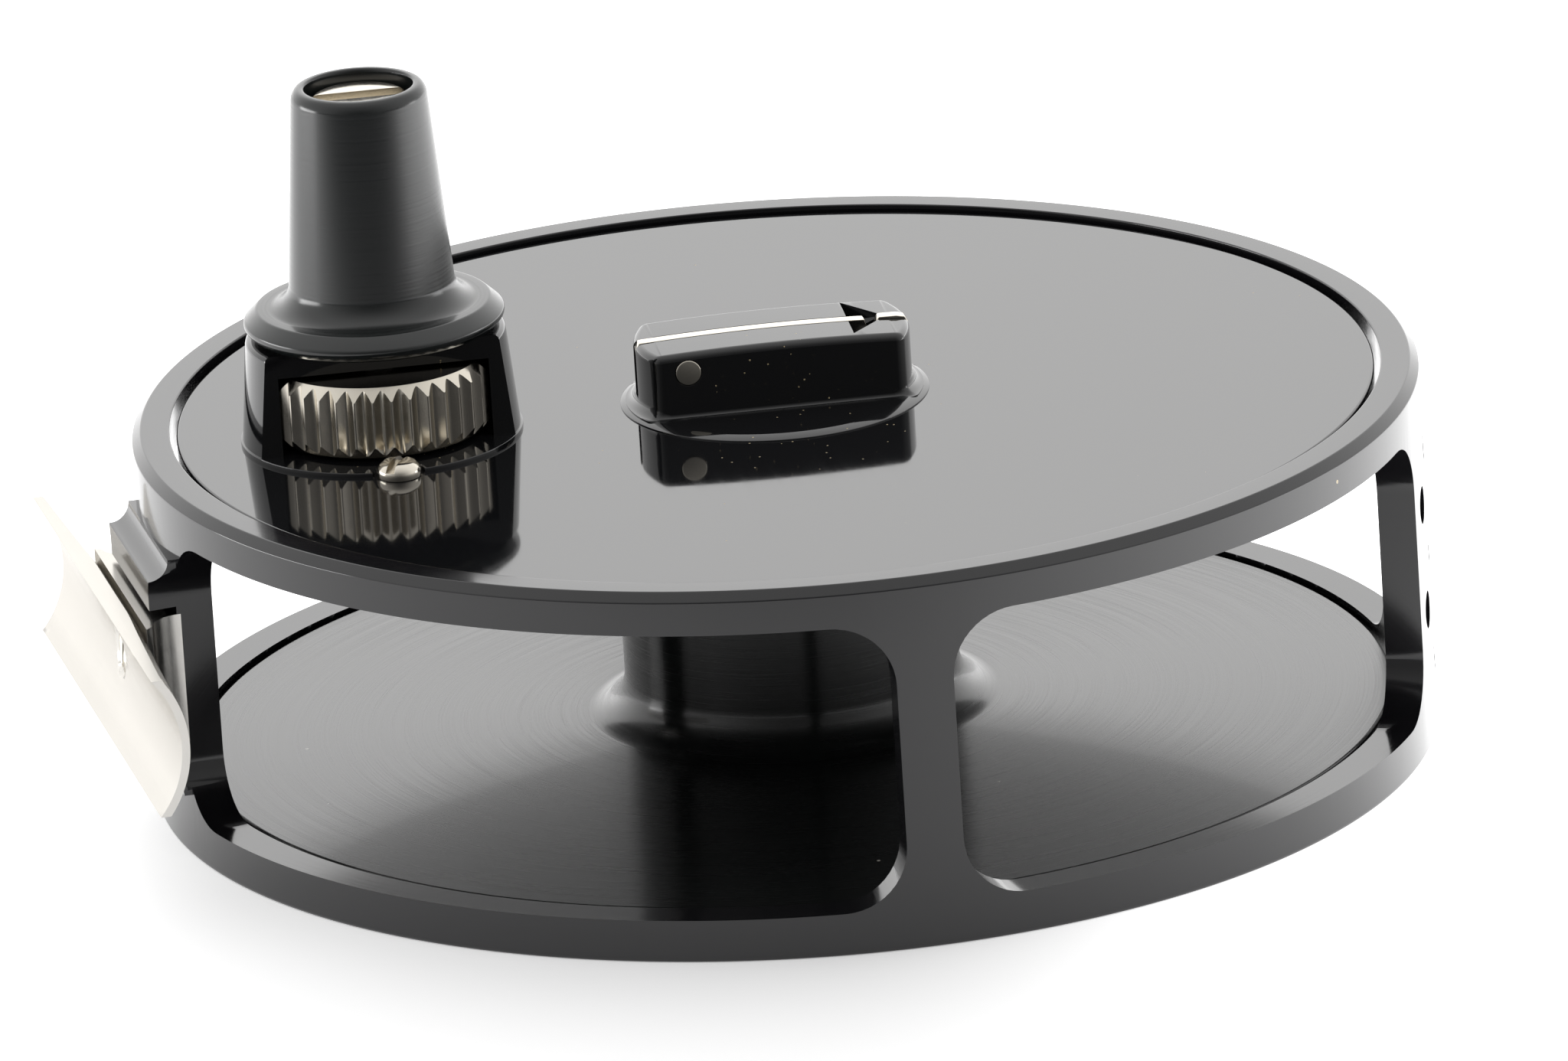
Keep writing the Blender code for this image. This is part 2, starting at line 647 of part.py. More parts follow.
def latch_outline(inset):
    """The latch block in plan: two flat sides with ends turned on the reel axis."""
    radius = LATCH_END_R - inset
    half = LATCH_HALF_WIDTH - inset
    turn = math.degrees(math.asin(half / radius))
    return arc((0, 0), radius, -turn, turn, 6) + arc((0, 0), radius, 180 - turn, 180 + turn, 6)


def latch_housing(spool_axis):
    levels = [(0.0, LATCH_DISC_TOP - 0.4), (0.0, LATCH_TOP - LATCH_BEVEL), (LATCH_BEVEL, LATCH_TOP)]
    loops = [[(x, y, z) for x, y in latch_outline(inset)] for inset, z in levels]
    housing = loft("latch_housing", loops, finish=BLACK_ANODISED, parent=spool_axis)
    disc = cylinder("latch_disc_tool", LATCH_DISC_R, LATCH_DISC_BOTTOM, LATCH_DISC_TOP,
                    facets=FACETS_ROUND, parent=spool_axis)
    join(housing, disc)
    low = LATCH_DISC_BOTTOM - 0.5
    ceiling = LATCH_PLATE_Z + LATCH_PLATE_THICKNESS + GAP
    slot = LATCH_SLOT / 2
    pin = cylinder("latch_pin_cutter", LATCH_PIN_R + 0.25, -6.0, 6.0, parent=spool_axis)
    pin.location = (LATCH_PIN[0] * MM, 0.0, LATCH_PIN[1] * MM)
    pin.rotation_euler = (math.radians(90), 0.0, 0.0)
    wedge = [(5.9, 31.6), (6.3, 31.6), (8.5, 33.1), (5.9, 33.1)]
    notch = side_prism("thumb_notch_cutter", wedge, 3.8, parent=spool_axis)
    notch.location = (0.0, 0.9 * MM, 0.0)
    tools = [
        block("latch_slot_cutter", (-12, 12), (-slot, slot), (LATCH_SLOT_FLOOR, 34), parent=spool_axis),
        block("latch_pocket_cutter", (-5.6, 6.8), (-3.5, 3.5), (low, ceiling),
              parent=spool_axis),
        cylinder("latch_bore_cutter", SPINDLE_NOSE_R + 0.4, low, SPINDLE_TOP + 0.2, parent=spool_axis),
        pin,
        notch,
    ]
    for index, point in enumerate(LATCH_SCREWS, 1):
        tools.append(cylinder(f"latch_thread_{index}", 1.0, low, 30.8, point, parent=spool_axis))
        head = FACE_UNDERSIDE - GAP
        outline = [(0, head - 0.7), (1.2, head - 0.7), (1.2, head), (0.65, head), (0.65, 30.3), (0, 30.3)]
        screw = turned(f"latch_screw_{index}", outline, FACETS_SMALL, finish=STEEL, parent=spool_axis)
        screw.location = (point[0] * MM, point[1] * MM, 0.0)
    cut(housing, *tools)


def latch_pin(spool_axis):
    reach = LATCH_HALF_WIDTH - 0.03
    pin = cylinder("latch_pin", LATCH_PIN_R, -reach, reach, finish=NICKEL_SILVER, parent=spool_axis)
    pin.location = (LATCH_PIN[0] * MM, 0.0, LATCH_PIN[1] * MM)
    pin.rotation_euler = (math.radians(90), 0.0, 0.0)


def latch_lever(latch_axis):
    """The thin lever in the slot, about its pin: a long finger leaf, and a nose that pushes the slide."""
    corners = [
        (-9.9, 31.5), (-8.6, 31.1), (-8.3, 30.3), (-7.5, 29.6), (-7.2, 28.8), (-6.4, 28.8),
        (-6.4, 29.6), (-5.5, 30.2), (-4.9, 31.25),
        (5.0, 31.25), (7.1, 32.0), (7.1, 32.6), (6.7, 32.85), (-9.3, 32.85), (-9.9, 32.5),
    ]
    outline = [(x - LATCH_PIN[0], z - LATCH_PIN[1]) for x, z in corners]
    lever = side_prism("latch_lever", outline, LATCH_LEAF / 2, finish=NICKEL_SILVER, parent=latch_axis)
    bore = cylinder("lever_bore_cutter", LATCH_PIN_R + 0.2, -2, 2, parent=latch_axis)
    bore.rotation_euler = (math.radians(90), 0.0, 0.0)
    cut(lever, bore)


def latch_slide(slide_axis):
    """The keyhole plate in the spindle groove, with the leaf that shows at the block's end."""
    low = LATCH_PLATE_Z
    high = low + LATCH_PLATE_THICKNESS
    leaf = LATCH_LEAF / 2
    slide = block("latch_slide", (-5.0, 4.4), (-3.2, 3.2), (low, high), finish=NICKEL_SILVER,
                  parent=slide_axis)
    outline = [
        (3.9, low), (9.9, low), (10.0, 32.6), (9.7, 32.93), (8.6, 32.93), (7.9, 32.5), (7.45, 31.8),
        (7.3, high + 0.2), (7.1, high), (3.9, high),
    ]
    tongue = block("slide_tongue_tool", (-6.1, -4.5), (-leaf, leaf), (low, high), parent=slide_axis)
    join(slide, side_prism("slide_leaf_tool", outline, leaf, parent=slide_axis), tongue)
    engaged = cylinder("keyhole_small_cutter", SPINDLE_GROOVE_R + 0.25, low - 1, high + 1,
                       facets=FACETS_ROUND, parent=slide_axis)
    released = cylinder("keyhole_large_cutter", SPINDLE_NOSE_R + GAP, low - 1, high + 1,
                        (-LATCH_TRAVEL, 0.0), facets=FACETS_ROUND, parent=slide_axis)
    cut(slide, engaged, released)


def latch_spring(spool_axis):
    """A short coil at its squeezed length, between the block's wall and the travelled slide."""
    turns = 3
    per_turn = 10
    radius = 0.45
    start = 4.75
    length = 1.45
    curve = bpy.data.curves.new("latch_spring", "CURVE")
    curve.dimensions = "3D"
    spline = curve.splines.new("POLY")
    count = turns * per_turn + 1
    spline.points.add(count - 1)
    for index in range(count):
        turn = 2 * math.pi * index / per_turn
        x = start + length * index / (count - 1)
        y = 2.2 + radius * math.cos(turn)
        z = 28.0 + radius * math.sin(turn)
        spline.points[index].co = (x * MM, y * MM, z * MM, 1.0)
    curve.bevel_depth = 0.13 * MM
    curve.bevel_resolution = 1
    curve.use_fill_caps = True
    item = bpy.data.objects.new("latch_spring", curve)
    item.parent = spool_axis
    bpy.context.scene.collection.objects.link(item)
    curve.materials.append(own_material("latch_spring", STEEL))


# ---------------------------------------------------------------- crank


def handle_housing(crank_axis):
    profile = [
        (0, LATCH_DISC_BOTTOM),
        (HOUSING_BASE_R, LATCH_DISC_BOTTOM),
        (HOUSING_BASE_R, HOUSING_FLOOR - 0.1),
        (HOUSING_LOW_R, HOUSING_FLOOR),
        (HOUSING_HIGH_R, HOUSING_TOP - 0.2),
        (HOUSING_HIGH_R - 0.2, HOUSING_TOP),
        (0, HOUSING_TOP),
    ]
    housing = turned("handle_housing", profile, 32, finish=BLACK_ANODISED, parent=crank_axis)
    reach = HOUSING_BASE_R + 2
    tools = [
        cylinder("wheel_chamber_cutter", WHEEL_CHAMBER_R, HOUSING_FLOOR, HOUSING_ROOF,
                 facets=32, parent=crank_axis),
        block("milled_front_cutter", (-reach, reach), (-reach, -HOUSING_FLAT), (HOUSING_FLOOR, 40),
              parent=crank_axis),
        cylinder("housing_post_hole", POST_R + GAP, HOUSING_ROOF - 1, HOUSING_TOP + 1, parent=crank_axis),
        cylinder("housing_sleeve_hole", CAM_R + CAM_RISE + 0.6, LATCH_DISC_BOTTOM - 1, HOUSING_FLOOR + 1,
                 parent=crank_axis),
        cylinder("lock_screw_notch", 1.95, LATCH_DISC_BOTTOM - 1, HOUSING_FLOOR + 1,
                 (0.0, -HOUSING_BASE_R - 0.1), parent=crank_axis),
    ]
    cut(housing, *tools)


def handle_post(crank_axis):
    profile = [
        (0, FRONT_FLANGE_Z - 0.9),
        (3.4, FRONT_FLANGE_Z - 0.9),
        (3.4, FRONT_FLANGE_Z - GAP),
        (POST_R, FRONT_FLANGE_Z - GAP),
        (POST_R, POST_TOP),
        (1.3, POST_TOP),
        (1.3, 44.0),
        (0, 44.0),
    ]
    turned("handle_post", profile, finish=STEEL, parent=crank_axis)
    low = HOUSING_TOP + GAP
    bore = POST_R + GAP
    high = low + 1.6
    profile = ((3.3, low), (3.3, high), (bore, high), (bore, low))
    loops = [circle(radius, z, FACETS_SMALL) for radius, z in profile]
    loft("post_nut", loops, ring=True, finish=STEEL, parent=crank_axis)


def grip_screw(crank_axis):
    low = POST_TOP + GAP
    high = low + GRIP_SCREW_HEIGHT
    profile = [
        (0, 45.0),
        (1.0, 45.0),
        (1.0, low),
        (GRIP_SCREW_R, low),
        (GRIP_SCREW_R, high - 0.4),
        (GRIP_SCREW_R - 0.4, high),
        (0, high),
    ]
    screw = turned("grip_screw", profile, finish=NICKEL_SILVER, parent=crank_axis)
    slotted(screw, GRIP_SCREW_SLOT, high - 1.0, high + 1.0, 5.0, parent=crank_axis)


def lock_screw(crank_axis):
    low = FACE_Z + GAP
    high = low + LOCK_SCREW_HEIGHT
    profile = [
        (0, 26.6),
        (LOCK_SCREW_STEM_R, 26.6),
        (LOCK_SCREW_STEM_R, low),
        (LOCK_SCREW_R, low),
        (LOCK_SCREW_R, low + 0.6),
        (LOCK_SCREW_R - 0.5, high - 0.15),
        (0, high),
    ]
    screw = turned("lock_screw", profile, FACETS_SMALL, finish=NICKEL_SILVER, parent=crank_axis)
    screw.location = (0.0, (-HOUSING_BASE_R - 0.1) * MM, 0.0)
    screw.rotation_euler = (0.0, 0.0, math.radians(35))
    slotted(screw, 0.45, low + 0.7, high + 0.7, 3.0, parent=crank_axis)


def grip(crank_axis):
    shoulder = GRIP_BOTTOM + GRIP_FILLET
    nut_r, nut_depth = GRIP_COUNTERBORE
    fillet = arc((GRIP_NECK_R + GRIP_FILLET, shoulder + GRIP_FILLET), GRIP_FILLET, 262, 186, 3)
    profile = [
        (nut_r, GRIP_BOTTOM),
        (GRIP_FLANGE_R - 0.5, GRIP_BOTTOM),
        (GRIP_FLANGE_R, GRIP_BOTTOM + 0.4),
        (GRIP_FLANGE_R, GRIP_BOTTOM + 1.0),
        (GRIP_FLANGE_R - 1.02, shoulder - 0.05),
    ]
    profile += fillet
    profile += [
        (GRIP_END_R, GRIP_TOP - 0.7),
        (GRIP_END_R - 0.25, GRIP_TOP - 0.15),
        (GRIP_END_R - 0.6, GRIP_TOP),
        (GRIP_RECESS_R, GRIP_TOP - 0.3),
        (GRIP_RECESS_R, POST_TOP),
        (GRIP_BUSH_BORE, POST_TOP),
        (GRIP_BUSH_BORE, GRIP_BOTTOM + nut_depth),
        (nut_r, GRIP_BOTTOM + nut_depth),
    ]
    turned("grip", profile, finish=SATIN_BLACK, parent=crank_axis)
    bore = POST_R + RUNNING
    bush = GRIP_BUSH_BORE - GAP
    low = GRIP_BOTTOM + nut_depth + GAP
    high = POST_TOP - 0.2
    profile = [(bush, low), (bush, high), (bore, high), (bore, low)]
    turned("grip_bush", profile, finish=BRONZE, parent=crank_axis)


# ---------------------------------------------------------------- brake wheel and shoe


def fluted(radius, root, z):
    """A loop of crests and roots, two points to a flute."""
    count = 2 * WHEEL_FLUTES
    loop = []
    for step in range(count):
        x, y = around(root if step % 2 else radius, 360.0 * step / count)
        loop.append((x, y, z))
    return loop


def brake_wheel(crank_axis):
    neck = WHEEL_R - WHEEL_CHAMFER
    bore = SLEEVE_R + GAP
    loops = [
        fluted(neck - 0.05, neck - 0.1, WHEEL_BOTTOM),
        fluted(WHEEL_R, WHEEL_ROOT_R, WHEEL_BOTTOM + WHEEL_CHAMFER),
        fluted(WHEEL_R, WHEEL_ROOT_R, WHEEL_TOP - WHEEL_CHAMFER),
        fluted(neck - 0.05, neck - 0.1, WHEEL_TOP),
        circle(bore, WHEEL_TOP, 2 * WHEEL_FLUTES),
        circle(bore, WHEEL_BOTTOM, 2 * WHEEL_FLUTES),
    ]
    loft("brake_wheel", loops, ring=True, finish=NICKEL_SILVER, parent=crank_axis)


def cam_radius(degrees):
    """The cam rises evenly over the wheel's travel, starting at the lever's side, +Y."""
    travel = (90.0 - degrees) % 360.0
    if travel <= CAM_TURN:
        return CAM_R + CAM_RISE * travel / CAM_TURN
    return CAM_R + CAM_RISE * (360.0 - travel) / (360.0 - CAM_TURN)


def brake_cam(crank_axis):
    count = 36
    turns = [360.0 * step / count for step in range(count)]
    cam = [around(cam_radius(turn), turn) for turn in turns]
    sleeve = [around(SLEEVE_R, turn) for turn in turns]
    bore = [around(POST_R + RUNNING, turn) for turn in turns]
    low = BRAKE_Z
    high = BRAKE_Z + BRAKE_THICKNESS
    top = WHEEL_TOP - 0.1
    levels = [(cam, low), (cam, high), (sleeve, high), (sleeve, top), (bore, top), (bore, low)]
    loops = [[(x, y, z) for x, y in points] for points, z in levels]
    loft("brake_cam", loops, ring=True, finish=STEEL, parent=crank_axis)


def brake_lever(brake_axis, spool_axis):
    """A bar between the plates. The cam lifts its outer end, and its inner end presses a pad."""
    px, py = BRAKE_PIVOT
    corners = [
        (-30.6, 4.35), (-27.8, 4.35), (-27.0, 4.7), (-3.0, 4.7), (-2.2, 4.5), (2.0, 4.5),
        (2.0, 6.2), (-11.0, 7.4), (-18.0, 7.4), (-30.6, 6.2),
    ]
    outline = [(x - px, y - py) for x, y in corners]
    high = BRAKE_Z + BRAKE_THICKNESS
    lever = prism("brake_lever", outline, BRAKE_Z, high, finish=STEEL, parent=brake_axis)
    cut(lever, cylinder("lever_pin_cutter", 0.95, BRAKE_Z - 1, high + 1, parent=brake_axis))
    pad_x = (-1.4 - px, 1.4 - px)
    pad_y = (SPINDLE_R + 0.4 - py, SPINDLE_R + 1.2 - py)
    block("brake_pad", pad_x, pad_y, (BRAKE_Z, high), finish=CORK, parent=brake_axis)
    pin = cylinder("brake_pin", 0.8, BRAKE_Z - 0.1, FACE_POCKET_FLOOR - 0.1, finish=STEEL, parent=spool_axis)
    pin.location = (px * MM, py * MM, 0.0)


def main():
    clear_scene()
    frame_cage()
    reel_foot()
    foot_screw()
    rear_plate()
    spindle()
    click_posts()
    click_spring()
    pawl_x, pawl_y = around(PAWL_PIVOT_R, 0)
    pawl(axis("pawl_axis", pawl_x, pawl_y))

    spool_axis = axis("spool_axis", turn=SPOOL_ANGLE)
    spool(spool_axis)
    bushes(spool_axis)
    check_gear(spool_axis)
    face_plate(spool_axis)
    latch_housing(spool_axis)
    latch_pin(spool_axis)
    latch_spring(spool_axis)
    latch_lever(axis("latch_axis", LATCH_PIN[0], 0.0, LATCH_PIN[1], parent=spool_axis))
    latch_slide(axis("latch_slide_axis", parent=spool_axis))

    crank_axis = axis("crank_axis", -CRANK_RADIUS, parent=spool_axis)
    handle_housing(crank_axis)
    handle_post(crank_axis)
    grip_screw(crank_axis)
    lock_screw(crank_axis)
    grip(crank_axis)
    brake_wheel(crank_axis)
    brake_cam(crank_axis)
    brake_lever(axis("brake_axis", *BRAKE_PIVOT, parent=spool_axis), spool_axis)


main()
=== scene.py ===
import json
import math

import bmesh
import bpy
from mathutils import Matrix, Vector


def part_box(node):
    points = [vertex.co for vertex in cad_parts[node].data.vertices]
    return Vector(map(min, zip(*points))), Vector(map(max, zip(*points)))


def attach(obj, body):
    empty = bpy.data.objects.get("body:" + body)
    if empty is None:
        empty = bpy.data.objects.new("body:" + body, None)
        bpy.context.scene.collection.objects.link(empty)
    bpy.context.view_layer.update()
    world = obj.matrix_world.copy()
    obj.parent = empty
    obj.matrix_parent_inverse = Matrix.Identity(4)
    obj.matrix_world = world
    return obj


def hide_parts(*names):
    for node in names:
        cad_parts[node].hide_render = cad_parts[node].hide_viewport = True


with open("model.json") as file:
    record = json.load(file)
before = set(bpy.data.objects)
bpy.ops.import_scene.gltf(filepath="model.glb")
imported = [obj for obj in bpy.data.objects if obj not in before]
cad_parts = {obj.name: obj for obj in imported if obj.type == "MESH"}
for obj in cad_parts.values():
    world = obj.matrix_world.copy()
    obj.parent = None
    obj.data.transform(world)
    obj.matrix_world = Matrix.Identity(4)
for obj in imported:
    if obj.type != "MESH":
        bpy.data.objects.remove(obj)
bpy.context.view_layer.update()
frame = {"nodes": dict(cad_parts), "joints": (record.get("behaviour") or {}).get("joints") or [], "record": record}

mm = 0.001
full = 2 * math.pi
joints = {joint["name"]: joint for joint in frame["joints"]}
crankPlace = Vector(joints["grip_spin"]["pos_m"])
slideWay = Vector(joints["latch_release"]["axis"])
spoolTurn = math.atan2(slideWay.y, slideWay.x)  # how far the spool stands turned at rest
cageLow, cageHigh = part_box("frame_cage")
plateLow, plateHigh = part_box("face_plate")
finishes = {}


# small mesh helpers; every shape is given in millimetres about its own axis

def addObject(name, mesh):
    item = bpy.data.objects.new(name, mesh)
    bpy.context.scene.collection.objects.link(item)
    return item


def meshFrom(name, points, faces):
    mesh = bpy.data.meshes.new(name)
    mesh.from_pydata([tuple(Vector(p) * mm) for p in points], [], faces)
    form = bmesh.new()
    form.from_mesh(mesh)
    bmesh.ops.remove_doubles(form, verts=form.verts, dist=1e-7)
    bmesh.ops.recalc_face_normals(form, faces=form.faces)
    form.to_mesh(mesh)
    form.free()
    return addObject(name, mesh)


def ringOf(radius, z, steps):
    turns = [full * s / steps for s in range(steps)]
    return [(radius * math.cos(turn), radius * math.sin(turn), z) for turn in turns]


def bandFaces(pairs, count):
    # the four-sided faces between neighbouring rings of count points each
    return [(a * count + s, a * count + (s + 1) % count, b * count + (s + 1) % count, b * count + s)
            for a, b in pairs for s in range(count)]


def skin(name, loops, closed=False):
    count = len(loops[0])
    points = [p for loop in loops for p in loop]
    rows = list(range(len(loops)))
    pairs = list(zip(rows, rows[1:])) + ([(rows[-1], 0)] if closed else [])
    faces = bandFaces(pairs, count)
    if not closed:
        faces.append(tuple(reversed(range(count))))
        faces.append(tuple(range((len(loops) - 1) * count, len(loops) * count)))
    return meshFrom(name, points, faces)


def softened(corners):
    # corners are (radius, z, rounding); each rounded one becomes a short arc
    out = []
    count = len(corners)
    for i, (x, z, rounding) in enumerate(corners):
        here = Vector((x, z))
        before = Vector(corners[i - 1][:2]) - here
        after = Vector(corners[(i + 1) % count][:2]) - here
        reach = min(rounding, 0.45 * before.length, 0.45 * after.length)
        if reach < 1e-4:
            out.append((x, z))
            continue
        start = here + before.normalized() * reach
        end = here + after.normalized() * reach
        for s in range(4):
            t = s / 3
            p = start * (1 - t) ** 2 + here * 2 * t * (1 - t) + end * t ** 2
            out.append((p.x, p.y))
    return out


def turned(name, corners, steps=192, hollow=True):
    # hollow profiles run all the way round; solid ones start and end on the axis
    if hollow:
        return skin(name, [ringOf(r, z, steps) for r, z in softened(corners)], closed=True)
    profile = softened(corners)
    profile = [(r, z) for r, z in profile if r > 1e-6 or (r, z) in (profile[0], profile[-1])]
    points, faces, rows = [], [], []
    for r, z in profile:
        rows.append((len(points), r > 1e-6))
        points += ringOf(r, z, steps) if r > 1e-6 else [(0, 0, z)]
    for (a, aRound), (b, bRound) in zip(rows, rows[1:]):
        for s in range(steps):
            n = (s + 1) % steps
            if aRound and bRound:
                faces.append((a + s, a + n, b + n, b + s))
            elif aRound:
                faces.append((a + s, a + n, b))
            elif bRound:
                faces.append((a, b + n, b + s))
    return meshFrom(name, points, faces)


def arcPoints(centre, radius, start, end, steps):
    return [(centre[0] + radius * math.cos(math.radians(start + (end - start) * s / steps)),
             centre[1] + radius * math.sin(math.radians(start + (end - start) * s / steps)))
            for s in range(steps + 1)]


def slab(name, outline, low, high):
    return skin(name, [[(x, y, z) for x, y in outline] for z in (low, high)])


def sideSlab(name, outline, half, shift=0.0):
    return skin(name, [[(x, y + shift, z) for x, z in outline] for y in (half, -half)])


def brick(name, x, y, z):
    return slab(name, [(x[0], y[0]), (x[1], y[0]), (x[1], y[1]), (x[0], y[1])], *z)


def rod(name, radius, low, high, steps=64, top=None):
    return skin(name, [ringOf(radius, low, steps), ringOf(radius if top is None else top, high, steps)])


def lay(item, matrix):
    item.data.transform(matrix)
    return item


def shiftBy(x, y, z):
    return Matrix.Translation(Vector((x, y, z)) * mm)


def turnBy(degrees, axis):
    return Matrix.Rotation(math.radians(degrees), 4, axis)


def freeze(item):
    # swap the mesh for what its modifiers make of it
    graph = bpy.context.evaluated_depsgraph_get()
    mesh = bpy.data.meshes.new_from_object(item.evaluated_get(graph), depsgraph=graph)
    item.modifiers.clear()
    item.data = mesh
    return item


def shape(item, operation, tools):
    for tool in tools:
        step = item.modifiers.new("shape", "BOOLEAN")
        step.operation = operation
        step.object = tool
        step.solver = "EXACT"
    freeze(item)
    for tool in tools:
        bpy.data.objects.remove(tool)
    return item


def cutSlot(screw, reach, half, levels, turn=0):
    # a screwdriver slot across the head
    tool = brick("slotTool", (-reach, reach), (-half, half), levels)
    return shape(screw, "DIFFERENCE", [lay(tool, turnBy(turn, "Z"))])


def breakEdges(item, width, segments=2, angle=38):
    step = item.modifiers.new("edges", "BEVEL")
    step.width = width * mm
    step.segments = segments
    step.limit_method = "ANGLE"
    step.angle_limit = math.radians(angle)
    step.use_clamp_overlap = True
    step.miter_outer = "MITER_ARC"
    return freeze(item)


def smooth(item, angle=42):
    item.data.shade_smooth()
    item.data.set_sharp_from_angle(angle=math.radians(angle))
    step = item.modifiers.new("normals", "WEIGHTED_NORMAL")
    step.keep_sharp = True
    return freeze(item)


def place(item, finish, body, slotName, *nodes):
    item.data.materials.clear()
    item.data.materials.append(finishes[finish])
    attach(item, body)
    if nodes:
        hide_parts(*nodes)
    return item


def onSpool(item):
    return lay(item, Matrix.Rotation(spoolTurn, 4, "Z"))


def onCrank(item):
    onSpool(item)
    return lay(item, Matrix.Translation(Vector((crankPlace.x, crankPlace.y, 0.0))))


# geometry node tree that copies its own piece round the axis

def repeatTree():
    tree = bpy.data.node_groups.new("repeatRound", "GeometryNodeTree")
    tree.interface.new_socket("Geometry", in_out="INPUT", socket_type="NodeSocketGeometry")
    for label, kind, value in (("Copies", "NodeSocketInt", 6), ("Start Angle", "NodeSocketFloat", 0.0),
                               ("Weld Distance", "NodeSocketFloat", 0.0)):
        socket = tree.interface.new_socket(label, in_out="INPUT", socket_type=kind)
        socket.default_value = value
    tree.interface.new_socket("Finish", in_out="INPUT", socket_type="NodeSocketMaterial")
    tree.interface.new_socket("Geometry", in_out="OUTPUT", socket_type="NodeSocketGeometry")
    nodes, links = tree.nodes, tree.links
    source = nodes.new("NodeGroupInput")
    points = nodes.new("GeometryNodePoints")
    spot = nodes.new("GeometryNodeInstanceOnPoints")
    index = nodes.new("GeometryNodeInputIndex")
    share = nodes.new("ShaderNodeMath")
    share.operation = "DIVIDE"
    angle = nodes.new("ShaderNodeMath")
    angle.operation = "MULTIPLY_ADD"
    angle.inputs[1].default_value = full
    spin = nodes.new("ShaderNodeCombineXYZ")
    real = nodes.new("GeometryNodeRealizeInstances")
    weld = nodes.new("GeometryNodeMergeByDistance")
    dress = nodes.new("GeometryNodeSetMaterial")
    target = nodes.new("NodeGroupOutput")
    links.new(source.outputs["Copies"], points.inputs["Count"])
    links.new(points.outputs[0], spot.inputs["Points"])
    links.new(source.outputs["Geometry"], spot.inputs["Instance"])
    links.new(index.outputs[0], share.inputs[0])
    links.new(source.outputs["Copies"], share.inputs[1])
    links.new(share.outputs[0], angle.inputs[0])
    links.new(source.outputs["Start Angle"], angle.inputs[2])
    links.new(angle.outputs[0], spin.inputs["Z"])
    links.new(spin.outputs[0], spot.inputs["Rotation"])
    links.new(spot.outputs[0], real.inputs[0])
    links.new(real.outputs[0], weld.inputs["Geometry"])
    links.new(source.outputs["Weld Distance"], weld.inputs["Distance"])
    links.new(weld.outputs[0], dress.inputs["Geometry"])
    links.new(source.outputs["Finish"], dress.inputs["Material"])
    links.new(dress.outputs[0], target.inputs["Geometry"])
    return tree


repeatRound = repeatTree()


def copiesRound(item, copies, start, weld, finish):
    step = item.modifiers.new("round", "NODES")
    step.node_group = repeatRound
    values = {"Copies": copies, "Start Angle": start, "Weld Distance": weld, "Finish": finishes[finish]}
    for socket in repeatRound.interface.items_tree:
        if socket.in_out == "INPUT" and socket.name in values:
            step[socket.identifier] = values[socket.name]
    return freeze(item)


# finishes: shared effects are node groups, the shaders stay in each material

def groupWith(name, inputs, outputs):
    tree = bpy.data.node_groups.new(name, "ShaderNodeTree")
    for label, kind, value in inputs:
        socket = tree.interface.new_socket(label, in_out="INPUT", socket_type=kind)
        if value is not None:
            socket.default_value = value
    for label, kind in outputs:
        tree.interface.new_socket(label, in_out="OUTPUT", socket_type=kind)
    return tree, tree.nodes.new("NodeGroupInput"), tree.nodes.new("NodeGroupOutput")


def mathNode(tree, operation, first, second=None, third=None):
    node = tree.nodes.new("ShaderNodeMath")
    node.operation = operation
    for slotIndex, value in enumerate((first, second, third)):
        if value is None:
            continue
        if isinstance(value, (int, float)):
            node.inputs[slotIndex].default_value = value
        else:
            tree.links.new(value, node.inputs[slotIndex])
    return node.outputs[0]


def noiseNode(tree, vector, scale, detail=2.0, roughness=0.5):
    node = tree.nodes.new("ShaderNodeTexNoise")
    node.inputs["Scale"].default_value = scale
    node.inputs["Detail"].default_value = detail
    node.inputs["Roughness"].default_value = roughness
    tree.links.new(vector, node.inputs["Vector"])
    return node.outputs["Fac"]


def turnedGrainGroup():
    # fine rings left by the lathe: noise over radius and height, with a slow drift round the turn
    tree, source, target = groupWith(
        "turnedGrain",
        [("Place", "NodeSocketVector", None), ("Ring Scale", "NodeSocketFloat", 4000.0),
         ("Drift", "NodeSocketFloat", 0.02)],
        [("Height", "NodeSocketFloat"), ("Band", "NodeSocketFloat")])
    links = tree.links
    split = tree.nodes.new("ShaderNodeSeparateXYZ")
    links.new(source.outputs["Place"], split.inputs[0])
    square = mathNode(tree, "MULTIPLY", split.outputs["X"], split.outputs["X"])
    squares = mathNode(tree, "MULTIPLY_ADD", split.outputs["Y"], split.outputs["Y"], square)
    radius = mathNode(tree, "SQRT", squares)
    slope = mathNode(tree, "ADD", radius, split.outputs["Z"])
    around = mathNode(tree, "ARCTAN2", split.outputs["Y"], split.outputs["X"])
    rings = mathNode(tree, "MULTIPLY", slope, source.outputs["Ring Scale"])
    wander = mathNode(tree, "MULTIPLY", around, source.outputs["Drift"])
    pack = tree.nodes.new("ShaderNodeCombineXYZ")
    links.new(rings, pack.inputs["X"])
    links.new(wander, pack.inputs["Y"])
    links.new(noiseNode(tree, pack.outputs[0], 1.0, 3.0, 0.6), target.inputs["Height"])
    links.new(noiseNode(tree, pack.outputs[0], 0.11, 2.0, 0.5), target.inputs["Band"])
    return tree


